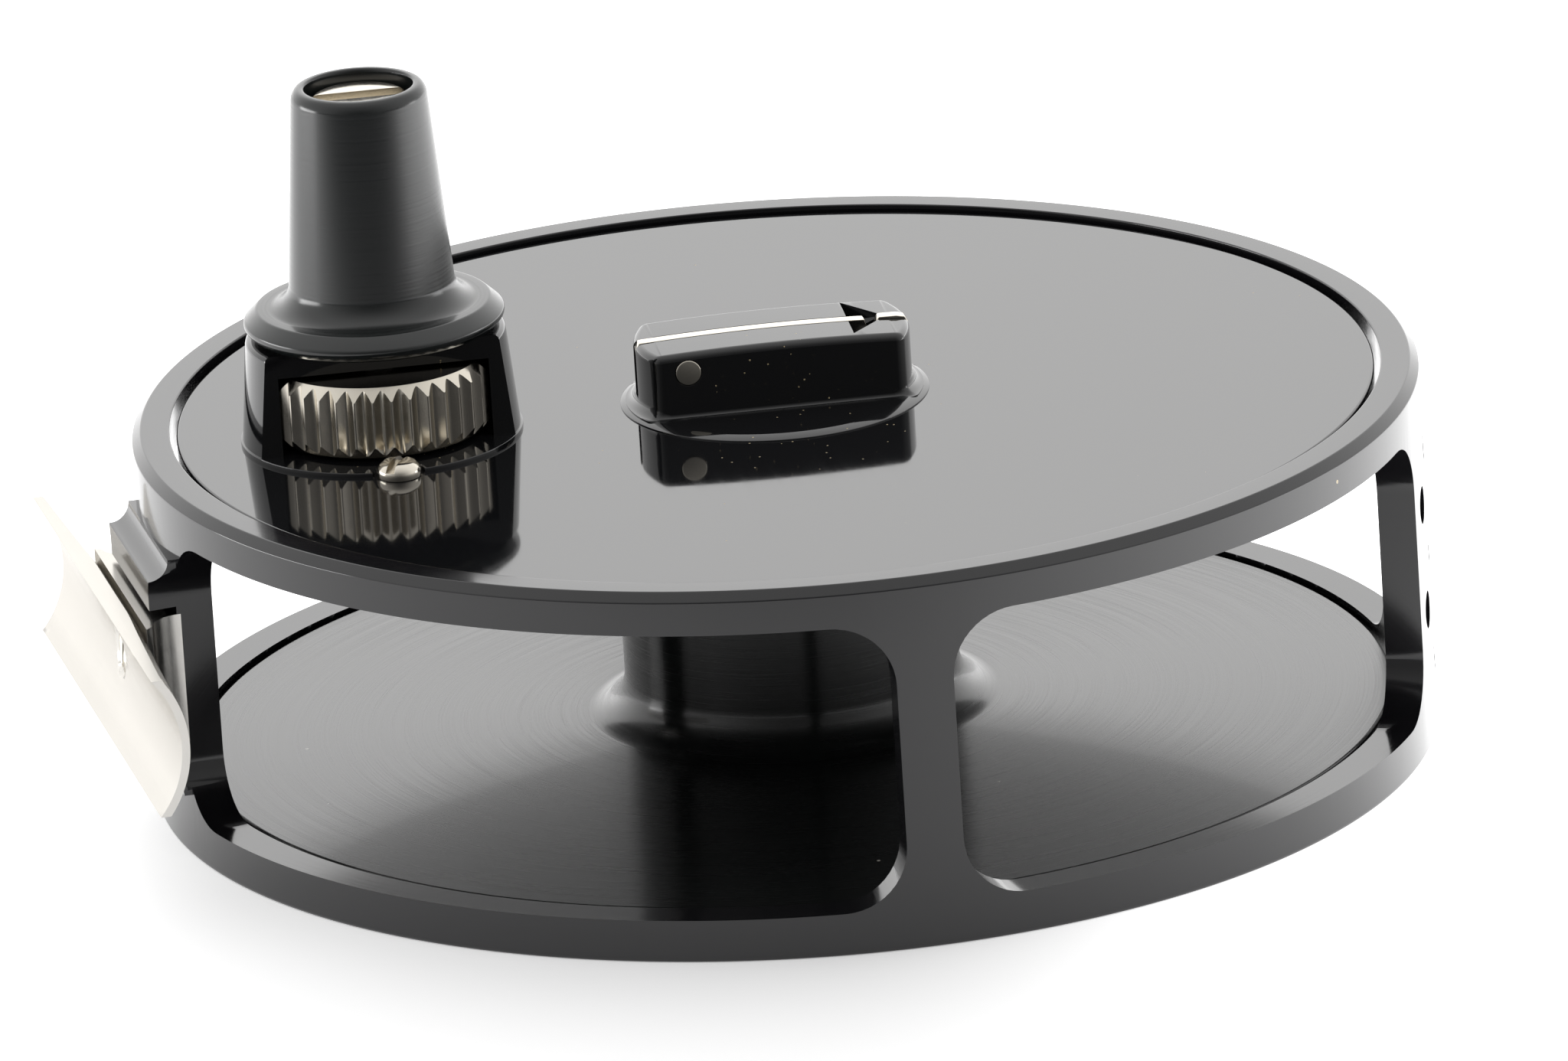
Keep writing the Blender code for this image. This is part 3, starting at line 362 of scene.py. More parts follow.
def dustGroup():
    # scattered specks; the more of them the nearer a point lies to the given spot
    tree, source, target = groupWith(
        "dustSpecks",
        [("Place", "NodeSocketVector", None), ("Speck Scale", "NodeSocketFloat", 900.0),
         ("Amount", "NodeSocketFloat", 0.1), ("Spot", "NodeSocketVector", (0.0, 0.0, 0.0)),
         ("Spot Size", "NodeSocketFloat", 0.01)],
        [("Mask", "NodeSocketFloat")])
    links = tree.links
    cells = tree.nodes.new("ShaderNodeTexVoronoi")
    links.new(source.outputs["Place"], cells.inputs["Vector"])
    links.new(source.outputs["Speck Scale"], cells.inputs["Scale"])
    inside = mathNode(tree, "LESS_THAN", cells.outputs["Distance"], 0.16)
    pick = tree.nodes.new("ShaderNodeSeparateColor")
    links.new(cells.outputs["Color"], pick.inputs[0])
    away = tree.nodes.new("ShaderNodeVectorMath")
    away.operation = "DISTANCE"
    links.new(source.outputs["Place"], away.inputs[0])
    links.new(source.outputs["Spot"], away.inputs[1])
    near = mathNode(tree, "DIVIDE", away.outputs["Value"], source.outputs["Spot Size"])
    square = mathNode(tree, "MULTIPLY", near, near)
    fade = mathNode(tree, "POWER", 2.718, mathNode(tree, "MULTIPLY", square, -1.0))
    chance = mathNode(tree, "MULTIPLY_ADD", fade, 0.1, source.outputs["Amount"])
    chosen = mathNode(tree, "LESS_THAN", pick.outputs[0], chance)
    links.new(mathNode(tree, "MULTIPLY", inside, chosen), target.inputs["Mask"])
    return tree


def polishGroup():
    # slow cloudiness and hairline marks of a hand-polished surface
    tree, source, target = groupWith(
        "polishMarks",
        [("Place", "NodeSocketVector", None), ("Cloud Scale", "NodeSocketFloat", 60.0),
         ("Hair Scale", "NodeSocketFloat", 1500.0)],
        [("Cloud", "NodeSocketFloat"), ("Hair", "NodeSocketFloat")])
    links = tree.links
    cloud = noiseNode(tree, source.outputs["Place"], 1.0, 4.0, 0.55)
    links.new(source.outputs["Cloud Scale"], cloud.node.inputs["Scale"])
    links.new(cloud, target.inputs["Cloud"])
    stretch = tree.nodes.new("ShaderNodeVectorMath")
    stretch.operation = "MULTIPLY"
    stretch.inputs[1].default_value = (1.0, 0.06, 1.0)
    links.new(source.outputs["Place"], stretch.inputs[0])
    hair = noiseNode(tree, stretch.outputs[0], 1.0, 3.0, 0.7)
    links.new(source.outputs["Hair Scale"], hair.node.inputs["Scale"])
    links.new(hair, target.inputs["Hair"])
    return tree


turnedGrain = turnedGrainGroup()
dustSpecks = dustGroup()
polishMarks = polishGroup()


def newFinish(name, look):
    # look holds the shader's own constants; the caller wires its pattern to what comes back
    material = bpy.data.materials.new(name)
    material.use_nodes = True
    tree = material.node_tree
    shader = tree.nodes["Principled BSDF"]
    shader.inputs["Base Color"].default_value = (*look["colour"], 1.0)
    shader.inputs["Metallic"].default_value = look["metallic"]
    shader.inputs["Roughness"].default_value = look["roughness"]
    shader.inputs["IOR"].default_value = look.get("ior", 1.5)
    shader.inputs["Specular Tint"].default_value = (*look.get("edgeTint", (1.0, 1.0, 1.0)), 1.0)
    shader.inputs["Anisotropic"].default_value = look.get("anisotropic", 0.0)
    shader.inputs["Anisotropic Rotation"].default_value = 0.25  # stretches a gleam across the lathe's rings
    shader.inputs["Coat Weight"].default_value = look.get("coat", 0.0)
    shader.inputs["Coat Roughness"].default_value = look.get("coatRoughness", 0.03)
    place = tree.nodes.new("ShaderNodeTexCoord").outputs["Object"]
    centre = look.get("centre")
    if centre:
        mapping = tree.nodes.new("ShaderNodeMapping")
        mapping.inputs["Location"].default_value = (-centre[0], -centre[1], -centre[2])
        tree.links.new(place, mapping.inputs["Vector"])
        place = mapping.outputs[0]
    finishes[name] = material
    return tree, shader, place


def useGroup(tree, group, place, values):
    node = tree.nodes.new("ShaderNodeGroup")
    node.node_tree = group
    tree.links.new(place, node.inputs["Place"])
    for label, value in values.items():
        node.inputs[label].default_value = value
    return node


def spread(tree, value, low, high):
    node = tree.nodes.new("ShaderNodeMapRange")
    node.inputs["From Min"].default_value = 0.3
    node.inputs["From Max"].default_value = 0.7
    node.inputs["To Min"].default_value = low
    node.inputs["To Max"].default_value = high
    tree.links.new(value, node.inputs["Value"])
    return node.outputs[0]


def tint(tree, factor, first, second):
    node = tree.nodes.new("ShaderNodeMix")
    node.data_type = "RGBA"
    for key, colour in ((6, first), (7, second)):
        if isinstance(colour, tuple):
            node.inputs[key].default_value = (*colour, 1.0)
        else:
            tree.links.new(colour, node.inputs[key])
    tree.links.new(factor, node.inputs[0])
    return node.outputs[2]


def bump(tree, shader, height, strength, distance):
    node = tree.nodes.new("ShaderNodeBump")
    node.inputs["Strength"].default_value = strength
    node.inputs["Distance"].default_value = distance
    tree.links.new(height, node.inputs["Height"])
    tree.links.new(node.outputs[0], shader.inputs["Normal"])


def mirrorBlack(name, look):
    tree, shader, place = newFinish(name, look)
    marks = useGroup(tree, polishMarks, place, {"Cloud Scale": 45.0, "Hair Scale": 1400.0})
    specks = useGroup(tree, dustSpecks, place, {"Speck Scale": look["speckScale"], "Amount": look["dust"],
                                                "Spot": look["spot"], "Spot Size": look["spotSize"]})
    body = tint(tree, marks.outputs["Cloud"], look["colour"], look["colourTwo"])
    tree.links.new(tint(tree, specks.outputs["Mask"], body, look["dustColour"]), shader.inputs["Base Color"])
    gloss = spread(tree, marks.outputs["Hair"], look["roughness"] * 0.8, look["roughness"] * 1.3)
    dull = mathNode(tree, "MULTIPLY_ADD", specks.outputs["Mask"], 0.5, gloss)
    tree.links.new(dull, shader.inputs["Roughness"])


def turnedBlack(name, look):
    tree, shader, place = newFinish(name, look)
    grain = useGroup(tree, turnedGrain, place, {"Ring Scale": look["rings"], "Drift": look["drift"]})
    specks = useGroup(tree, dustSpecks, place, {"Speck Scale": look["speckScale"], "Amount": look["dust"]})
    body = tint(tree, grain.outputs["Band"], look["colour"], look["colourTwo"])
    tree.links.new(tint(tree, specks.outputs["Mask"], body, look["dustColour"]), shader.inputs["Base Color"])
    tree.links.new(spread(tree, grain.outputs["Height"], look["roughness"] * 0.75, look["roughness"] * 1.35),
                   shader.inputs["Roughness"])
    bump(tree, shader, grain.outputs["Height"], look["bump"], look["bumpDepth"])
    if look.get("anisotropic"):
        tangent = tree.nodes.new("ShaderNodeTangent")
        tangent.direction_type = "RADIAL"
        tangent.axis = "Z"
        tree.links.new(tangent.outputs[0], shader.inputs["Tangent"])


def brightMetal(name, look):
    tree, shader, place = newFinish(name, look)
    marks = useGroup(tree, polishMarks, place, {"Cloud Scale": look["cloud"], "Hair Scale": look["hair"]})
    tree.links.new(tint(tree, marks.outputs["Cloud"], look["colour"], look["colourTwo"]),
                   shader.inputs["Base Color"])
    tree.links.new(spread(tree, marks.outputs["Hair"], look["roughness"] * 0.88, look["roughness"] * 1.15),
                   shader.inputs["Roughness"])
    bump(tree, shader, marks.outputs["Hair"], look["bump"], 0.00002)


dustTone = (0.42, 0.34, 0.20)
mirrorLook = dict(colour=(0.0045, 0.0045, 0.0055), colourTwo=(0.0065, 0.007, 0.0075), metallic=0.0,
                  roughness=0.06, ior=1.6, speckScale=2300.0, dust=0.0012, dustColour=dustTone)
mirrorBlack("plateBlack", dict(mirrorLook, spot=(0.0, -0.006, plateHigh.z), spotSize=0.011, roughness=0.05))
mirrorBlack("blockBlack", dict(mirrorLook, spot=(0.0, -0.0045, 0.0285), spotSize=0.007, dust=0.001))
mirrorBlack("housingBlack", dict(mirrorLook, spot=(crankPlace.x, crankPlace.y - 0.0103, 0.0282),
                                 spotSize=0.006))
turnedBlack("cageBlack", dict(
    colour=(0.006, 0.0058, 0.0066), colourTwo=(0.008, 0.0078, 0.0092), metallic=0.0, roughness=0.11,
    ior=1.6, rings=5200.0, drift=0.0, bump=0.05, bumpDepth=0.00001, speckScale=1100.0, dust=0.001,
    dustColour=dustTone))
turnedBlack("spoolBlack", dict(
    colour=(0.005, 0.0055, 0.0055), colourTwo=(0.009, 0.010, 0.010), metallic=0.0, roughness=0.22, ior=1.5,
    anisotropic=0.8, coat=0.12, coatRoughness=0.06, rings=9000.0, drift=1.2, bump=0.12, bumpDepth=0.000012,
    speckScale=1000.0, dust=0.003, dustColour=(0.5, 0.48, 0.44)))
turnedBlack("gripBlack", dict(
    colour=(0.0055, 0.007, 0.007), colourTwo=(0.008, 0.010, 0.010), metallic=0.0, roughness=0.19, ior=1.6,
    rings=6000.0, drift=0.0, bump=0.015, bumpDepth=0.00001, speckScale=900.0, dust=0.002,
    dustColour=dustTone, centre=tuple(crankPlace)))
nickel = dict(colour=(0.66, 0.61, 0.52), colourTwo=(0.74, 0.70, 0.62), metallic=1.0, roughness=0.17,
              cloud=120.0, hair=1500.0, bump=0.02)
brightMetal("nickelSilver", nickel)
brightMetal("footSilver", dict(nickel, colour=(0.6, 0.585, 0.555), colourTwo=(0.64, 0.625, 0.595),
                               roughness=0.22, hair=500.0, edgeTint=(0.72, 0.705, 0.68), bump=0.0))
brightMetal("screwSteel", dict(nickel, colour=(0.58, 0.57, 0.55), colourTwo=(0.66, 0.65, 0.63), roughness=0.2))
brightMetal("springSteel", dict(nickel, colour=(0.38, 0.39, 0.43), colourTwo=(0.46, 0.47, 0.50),
                                roughness=0.24))
brightMetal("bearingBronze", dict(nickel, colour=(0.50, 0.31, 0.13), colourTwo=(0.60, 0.40, 0.20),
                                  roughness=0.3))


def corkFinish():
    tree, shader, place = newFinish("brakeCork", dict(colour=(0.30, 0.18, 0.09), metallic=0.0, roughness=0.85))
    grain = noiseNode(tree, place, 2600.0, 4.0, 0.7)
    tree.links.new(tint(tree, grain, (0.16, 0.09, 0.045), (0.42, 0.27, 0.15)), shader.inputs["Base Color"])
    bump(tree, shader, grain, 0.5, 0.00008)


corkFinish()
print("finishes made:", len(finishes))


# camera and light

camera = {"azimuth": -11.5, "elevation": 18.158, "roll": -3.667, "distance": 1.61747, "lens": 501.3,
          "aimRight": 1.006, "aimUp": -16.082}


def makeCamera():
    turn = math.radians(camera["azimuth"])
    tilt = math.radians(camera["elevation"])
    back = Vector((math.sin(turn) * math.cos(tilt), -math.cos(turn) * math.cos(tilt), math.sin(tilt)))
    right = Vector((math.cos(turn), math.sin(turn), 0.0))
    up = back.cross(right)
    roll = math.radians(camera["roll"])
    leanRight = right * math.cos(roll) + up * math.sin(roll)
    leanUp = up * math.cos(roll) - right * math.sin(roll)
    lens = bpy.data.cameras.new("longLens")
    lens.lens = camera["lens"]
    lens.sensor_width = 36.0
    lens.clip_start = 0.05
    lens.clip_end = 20.0
    eye = bpy.data.objects.new("studioCamera", lens)
    bpy.context.scene.collection.objects.link(eye)
    spot = back * camera["distance"] - (leanRight * camera["aimRight"] + leanUp * camera["aimUp"]) * mm
    eye.matrix_world = Matrix.Translation(spot) @ Matrix((leanRight, leanUp, back)).transposed().to_4x4()
    bpy.context.scene.camera = eye


# the floor values set painted light, an emission glow behind and to the right, and painted shade, a dark colour
# far out on the camera's side
studio = {"room": 1.05, "backGlow": 0.95, "frontShade": 0.9, "warmth": (1.0, 0.997, 0.992),
          "floorColour": (0.92, 0.92, 0.925), "floorPaintedGlow": 0.75, "floorPaintedGlowBase": 0.22, "rightPaintedGlow": 1.4,
          "fade": (0.11, 0.26), "farPaintedShadeColour": (0.16, 0.16, 0.165), "floorSize": 8.0}


def awayFromCamera(tree, vector, swing=0.0):
    # how far a direction points away from the camera's side, from -1 to 1; swing turns that side in degrees
    facing = tree.nodes.new("ShaderNodeVectorMath")
    facing.operation = "DOT_PRODUCT"
    turn = math.radians(camera["azimuth"] + swing)
    facing.inputs[1].default_value = (-math.sin(turn), math.cos(turn), 0.0)
    tree.links.new(vector, facing.inputs[0])
    return facing.outputs["Value"]


def makeStudio():
    world = bpy.data.worlds.new("whiteTent")
    bpy.context.scene.world = world
    world.use_nodes = True
    tree = world.node_tree
    glow = tree.nodes["Background"]
    away = awayFromCamera(tree, tree.nodes.new("ShaderNodeTexCoord").outputs["Generated"])
    behind = mathNode(tree, "MAXIMUM", away, 0.0)
    ahead = mathNode(tree, "MAXIMUM", mathNode(tree, "MULTIPLY", away, -1.0), 0.0)
    lift = mathNode(tree, "MULTIPLY_ADD", mathNode(tree, "POWER", behind, 2.0), studio["backGlow"],
                    studio["room"])
    shade = mathNode(tree, "MULTIPLY", mathNode(tree, "POWER", ahead, 1.5), -studio["frontShade"])
    tree.links.new(mathNode(tree, "ADD", lift, shade), glow.inputs["Strength"])
    glow.inputs["Color"].default_value = (*studio["warmth"], 1.0)
    half = studio["floorSize"] / 2 / mm
    corners = [(-half, -half, 0), (half, -half, 0), (half, half, 0), (-half, half, 0)]
    floor = meshFrom("paleFloor", corners, [(0, 1, 2, 3)])
    paper = bpy.data.materials.new("paperWhite")
    paper.use_nodes = True
    tree = paper.node_tree
    paint = tree.nodes["Principled BSDF"]
    paint.inputs["Base Color"].default_value = (*studio["floorColour"], 1.0)
    paint.inputs["Roughness"].default_value = 0.9
    paint.inputs["Specular IOR Level"].default_value = 0.1
    # painted light: the paper glows by emission, brighter behind and to the right; painted shade darkens its
    # colour and dims that glow at a distance on the camera's side
    spot = tree.nodes.new("ShaderNodeTexCoord").outputs["Object"]
    outward = tree.nodes.new("ShaderNodeVectorMath")
    outward.operation = "NORMALIZE"
    tree.links.new(spot, outward.inputs[0])
    fade = tree.nodes.new("ShaderNodeMapRange")
    fade.inputs["From Min"].default_value, fade.inputs["From Max"].default_value = studio["fade"]
    tree.links.new(mathNode(tree, "MULTIPLY", awayFromCamera(tree, spot), -1.0), fade.inputs["Value"])
    paintedLit = mathNode(tree, "SUBTRACT", 1.0, fade.outputs[0])
    tree.links.new(tint(tree, fade.outputs[0], studio["floorColour"], studio["farPaintedShadeColour"]),
                   paint.inputs["Base Color"])
    glow = mathNode(tree, "MULTIPLY_ADD", awayFromCamera(tree, outward.outputs["Vector"]),
                    studio["floorPaintedGlow"] / 2,
                    studio["floorPaintedGlow"] / 2 + studio["floorPaintedGlowBase"])
    sideways = mathNode(tree, "MAXIMUM", awayFromCamera(tree, outward.outputs["Vector"], -90.0), 0.0)
    glow = mathNode(tree, "MULTIPLY_ADD", mathNode(tree, "POWER", sideways, 2.0), studio["rightPaintedGlow"], glow)
    tree.links.new(mathNode(tree, "MULTIPLY", glow, paintedLit), paint.inputs["Emission Strength"])
    paint.inputs["Emission Color"].default_value = (1.0, 1.0, 1.0, 1.0)
    floor.data.materials.append(paper)
    view = bpy.context.scene.view_settings
    view.view_transform = "Standard"
    view.look = "None"


def softBox(name, azimuth, elevation, distance, size, power):
    light = bpy.data.lights.new(name, "AREA")
    light.shape = "RECTANGLE"
    light.size, light.size_y = size
    light.energy = power
    lamp = bpy.data.objects.new(name, light)
    bpy.context.scene.collection.objects.link(lamp)
    turn, tilt = math.radians(azimuth), math.radians(elevation)
    spot = Vector((math.sin(turn) * math.cos(tilt), -math.cos(turn) * math.cos(tilt),
                   math.sin(tilt))) * distance
    lamp.location = spot
    lamp.rotation_euler = spot.to_track_quat("Z", "Y").to_euler()
    return lamp


makeCamera()
makeStudio()
softBox("leftCard", -106.0, 6.0, 0.4, (0.24, 0.08), 0.38)
softBox("rightCard", 88.0, 6.0, 0.5, (0.16, 0.08), 0.1)
print("camera and studio ready")


# frame body

cage = {"steps": 320, "bore": 44.7, "rimChamfer": 0.66, "rimBottom": 24.84, "ringTop": 3.2, "corner": 4.75,
        "ledge": (41.5, 1.1, 2.1), "pillar": 4.2, "footBridge": 8.35, "bridgeMiddle": -13.5,
        "bridgeHalf": 10.7, "pitch": 8.1, "columnStep": 6.5, "largePort": 2.5, "smallPort": 1.4, "edge": 0.16,
        "seatReach": 49.05, "seatHeight": 2.3, "seatFillet": 1.5, "seatLength": 15.0, "seatGap": 0.1,
        "footZ": 14.1, "footWidth": 10.4, "portOvershoot": 1.5}


def windowTool(start, end):
    outer = cageHigh.y / mm
    lean = math.degrees(cage["corner"] / outer)
    fine = 12
    left = [(start + lean * (1 - math.cos(math.radians(90 * s / fine))),
             cage["corner"] * (1 - math.sin(math.radians(90 * s / fine)))) for s in range(fine + 1)]
    flat = 18
    middle = [(start + lean + (end - start - 2 * lean) * s / flat, 0.0) for s in range(1, flat)]
    columns = left + middle + [(start + end - a, i) for a, i in reversed(left)]
    loops = []
    for angle, inset in columns:
        c, s = math.cos(math.radians(angle)), math.sin(math.radians(angle))
        low, high = cage["ringTop"] + inset, cage["rimBottom"] - inset
        near, far = cage["bore"] - 1.2, outer + 2.6
        loops.append([(near * c, near * s, low), (near * c, near * s, high),
                      (far * c, far * s, high), (far * c, far * s, low)])
    return skin("windowTool", loops)


def portTools():
    outer = cageHigh.y / mm
    middle = (cage["ringTop"] + cage["rimBottom"]) / 2
    overshoot = cage["portOvershoot"]
    tools = []
    for column in (-1, 0, 1):
        large = column == 0
        for row in (-1, 0, 1) if large else (-0.5, 0.5):
            radius = cage["largePort"] if large else cage["smallPort"]
            tool = rod("portTool", radius, cage["bore"] - overshoot, outer + overshoot, 40)
            lay(tool, turnBy(90, "Y"))
            lay(tool, turnBy(cage["bridgeMiddle"] + column * cage["columnStep"], "Z"))
            tools.append(lay(tool, shiftBy(0, 0, middle + row * cage["pitch"])))
    return tools


def seatTool(side):
    near = cage["footWidth"] / 2 + cage["seatGap"]
    reach = -cage["seatReach"]
    inside = -cageHigh.y / mm + 1.5
    height = near + cage["seatHeight"]
    fillet = cage["seatFillet"]
    flare = arcPoints((reach + 0.05, height + fillet), fillet, 0, -90, 14)
    outline = [(inside, near), (inside, height + fillet)] + flare + [(reach, height - 0.05), (reach, near)]
    outline = [(x, cage["footZ"] + side * z) for x, z in outline]
    return sideSlab("seatTool", outline if side > 0 else outline[::-1], cage["seatLength"] / 2)


def makeCage():
    outer, top = cageHigh.y / mm, cageHigh.z / mm
    ledge = cage["ledge"]
    bore, chamfer = cage["bore"], cage["rimChamfer"]
    corners = [(outer, 0.0, 0.3), (outer, top - chamfer, 0.08), (outer - chamfer, top, 0.08), (bore, top, 0.12),
               (bore, ledge[2], 0.0), (ledge[0], ledge[2], 0.08), (ledge[0], ledge[1], 0.08),
               (bore, ledge[1], 0.0), (bore, 0.0, 0.1)]
    body = turned("cageBody", corners, cage["steps"])
    shape(body, "UNION", [seatTool(1), seatTool(-1)])
    pillar = math.degrees(math.asin(cage["pillar"] / 2 / outer))
    windows = [windowTool(cage["bridgeMiddle"] + cage["bridgeHalf"], 90 - pillar),
               windowTool(90 + pillar, 180 - cage["footBridge"]),
               windowTool(180 + cage["footBridge"], 270 - pillar),
               windowTool(270 + pillar, 360 + cage["bridgeMiddle"] - cage["bridgeHalf"])]
    shape(body, "DIFFERENCE", windows + portTools())
    breakEdges(body, cage["edge"], 2, 50)
    smooth(body)
    return place(body, "cageBlack", "frame", "black_anodised", "frame_cage")


makeCage()
print("cage made")

rear = {"screws": 6, "circle": 43.1, "start": 30, "sink": 1.12, "slot": 0.28, "shank": 0.55, "length": 1.8,
        "sheet": 0.8, "boss": 10.6}


def makeRearPlate():
    low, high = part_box("rear_plate")
    radius, top = high.x / mm, high.z / mm
    corners = [(0, 0, 0), (radius, 0, 0.12), (radius, rear["sheet"], 0.1), (rear["boss"], rear["sheet"], 0.3),
               (rear["boss"], top, 0.2), (0, top, 0)]
    plate = turned("rearPlateBody", corners, 256, hollow=False)
    tools = []
    for s in range(rear["screws"]):
        tool = rod("sinkTool", rear["sink"] + 0.25, -0.3, 1.2, 32, top=rear["sheet"])
        lay(tool, shiftBy(rear["circle"], 0, 0))
        tools.append(lay(tool, turnBy(rear["start"] + 360 / rear["screws"] * s, "Z")))
    shape(plate, "DIFFERENCE", tools)
    breakEdges(plate, 0.05, 2, 30)
    smooth(plate)
    place(plate, "cageBlack", "frame", "black_anodised", "rear_plate")


def makeRearScrews():
    corners = [(0, 0.1, 0), (rear["sink"], 0.1, 0.06), (rear["shank"], 0.75, 0),
               (rear["shank"], rear["length"], 0), (0, rear["length"], 0)]
    screw = turned("rearScrews", corners, 32, hollow=False)
    cutSlot(screw, 2, rear["slot"] / 2, (-0.5, 0.4))
    smooth(screw)
    lay(screw, shiftBy(rear["circle"], 0, 0))
    copiesRound(screw, rear["screws"], math.radians(rear["start"]), 0.0, "screwSteel")
    place(screw, "screwSteel", "frame", "steel", *[f"rear_plate_screw_{i + 1}" for i in range(rear["screws"])])


makeRearPlate()
makeRearScrews()
print("rear plate made")

foot = {"troughRadius": 8.0, "bottom": 50.1, "middle": 1.15, "tip": 0.6, "stem": 7.5, "edge": 0.09,
        "rows": 28, "across": 24, "rootRadius": 2.6, "screwHole": 1.05, "sinkHole": (0.95, 2.1)}
footScrew = {"head": 1.62, "shank": 0.95, "headTall": 0.75, "length": 5.0, "slotHalf": 0.2, "turn": 20}


def makeFoot():
    low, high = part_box("reel_foot")
    halfLength = high.y / mm
    half = (high.z - low.z) / mm / 2
    centre = (high.z + low.z) / mm / 2
    axis = foot["bottom"] + foot["troughRadius"]
    loops = []
    for row in range(foot["rows"] + 1):
        y = halfLength * (2 * row / foot["rows"] - 1)
        away = max(0.0, (abs(y) - foot["stem"]) / (halfLength - foot["stem"]))
        thick = foot["middle"] + (foot["tip"] - foot["middle"]) * away ** 0.8
        zs = [half * (2 * s / foot["across"] - 1) for s in range(foot["across"] + 1)]
        front = [(-axis + math.sqrt(foot["troughRadius"] ** 2 - z * z), y, centre + z) for z in reversed(zs)]
        back = [(-axis + math.sqrt((foot["troughRadius"] + thick) ** 2 - z * z), y, centre + z) for z in zs]
        loops.append(front + back)
    body = skin("footBody", loops)
    root = foot["rootRadius"]
    cageFace = high.x / mm
    inside = -(foot["bottom"] - 0.35)
    outline = [(cageFace, -foot["stem"]), (cageFace, foot["stem"])]
    outline += arcPoints((inside + root + 0.35, foot["stem"] + root), root, -90, -170, 8)
    outline += [(inside - 0.1, foot["stem"] + root), (inside - 0.1, -foot["stem"] - root)]
    outline += arcPoints((inside + root + 0.35, -foot["stem"] - root), root, 170, 90, 8)
    stem = slab("stemTool", outline, centre - half + 0.3, centre + half - 0.3)
    trimRound = ringOf(foot["troughRadius"] + 0.3, 0, 96)
    trim = skin("stemTrim", [[(-axis + x, y, centre + z) for x, z, level in trimRound]
                             for y in (-halfLength - 2, halfLength + 2)])
    shape(stem, "DIFFERENCE", [trim])
    shape(body, "UNION", [stem])
    tools = []
    sinkStart, sinkEnd = foot["sinkHole"]
    cuts = ((foot["screwHole"], 44, 53, None),
            (sinkStart, foot["bottom"] - 0.75, foot["bottom"] + 0.4, sinkEnd))
    for radius, nearEnd, farEnd, top in cuts:
        tool = rod("screwTool", radius, nearEnd, farEnd, 48, top=top)
        lay(tool, turnBy(-90, "Y"))
        tools.append(lay(tool, shiftBy(0, 0, centre)))
    shape(body, "DIFFERENCE", tools)
    breakEdges(body, foot["edge"], 2, 40)
    smooth(body)
    place(body, "footSilver", "frame", "nickel_silver", "reel_foot")
    corners = [(0, 0, 0), (footScrew["head"], 0, 0.12), (footScrew["shank"], footScrew["headTall"], 0),
               (footScrew["shank"], footScrew["length"], 0), (0, footScrew["length"], 0)]
    screw = turned("footScrew", corners, 48, hollow=False)
    cutSlot(screw, 3, footScrew["slotHalf"], (-0.5, 0.45))
    breakEdges(screw, 0.04, 2, 50)
    smooth(screw)
    lay(screw, turnBy(footScrew["turn"], "Z"))
    lay(screw, turnBy(90, "Y"))
    lay(screw, shiftBy(-(foot["bottom"] - 0.1), 0, centre))
    place(screw, "nickelSilver", "frame", "nickel_silver", "foot_screw")


makeFoot()
print("rod foot made")

# spool body

spool = {"rim": 44.2, "arbor": 12.4, "fillet": 3.0, "edgeTop": 3.0, "edgeLow": 2.3, "rise": 1.0,
         "frontLow": 24.0, "frontTop": 24.8, "cavity": 11.2, "web": 20.0, "tube": (4.3, 5.6, 9.0)}
facePlate = {"rim": 44.2, "recess": 39.0, "bore": 2.6, "underside": 26.3, "postHole": 5.0}


def makeSpool():
    radius = spool["rim"]
    hub = spool["edgeTop"] + spool["rise"]
    fillet = spool["fillet"]
    wide = spool["arbor"] + fillet
    corners = [(spool["cavity"], spool["edgeLow"] + 0.9, 0.1), (radius, spool["edgeLow"], 0.12),
               (radius, spool["edgeTop"], 0.22)]
    corners += [(x, z, 0) for x, z in arcPoints((wide, hub + fillet), fillet, 268, 180, 14)]
    corners += [(x, z, 0) for x, z in arcPoints((wide, spool["frontLow"] - fillet), fillet, 180, 90, 14)]
    tubeBore, tubeOut, tubeEnd = spool["tube"]
    frontTop, web = spool["frontTop"], spool["web"]
    corners += [(radius, spool["frontLow"], 0.1), (radius, frontTop, 0.1), (tubeBore, frontTop, 0.1),
                (tubeBore, tubeEnd, 0.1), (tubeOut, tubeEnd, 0.1), (tubeOut, web, 0.4),
                (spool["cavity"], web, 0.4)]
    body = turned("spoolBody", corners, 256)
    smooth(body)
    place(body, "spoolBlack", "spool", "black_anodised", "spool")


def makeFacePlate():
    radius, low, top = facePlate["rim"], plateLow.z / mm, plateHigh.z / mm
    recess, bore, underside = facePlate["recess"], facePlate["bore"], facePlate["underside"]
    corners = [(recess, low, 0.1), (radius, low, 0.1), (radius, top, 0.22), (bore, top, 0.05),
               (bore, underside, 0.05), (recess, underside, 0.3)]
    plate = turned("facePlateBody", corners, 288)
    hole = rod("holeTool", facePlate["postHole"], 26, 28, 64)
    onCrank(hole)
    shape(plate, "DIFFERENCE", [hole])
    smooth(plate)
    place(plate, "plateBlack", "spool", "black_anodised", "face_plate")


makeSpool()
makeFacePlate()
print("spool and face plate made")

latch = {"disc": 11.4, "discRim": 27.68, "discFlat": 10.5, "discTop": 27.92, "end": 10.2, "half": 4.5,
         "flare": 0.8, "skirt": 0.3, "round": 0.55, "corner": 0.8, "slot": 1.26, "slotFloor": 28.5,
         "pin": (-6.8, 31.3), "pinRadius": 0.95, "leaf": 1.02, "crown": 0.3, "edge": 0.05,
         "notch": (5.7, 8.5), "notchFloor": 31.5, "notchWide": (3.9, -3.5, 0.4), "endStart": 8.4,
         "endBlend": 0.9, "plate": (28.9, 29.5), "key": (1.75, 2.3, 1.3), "lever": (-9.85, 6.9),
         "rise": (7.2, 0.85, 31.35, 32.86)}


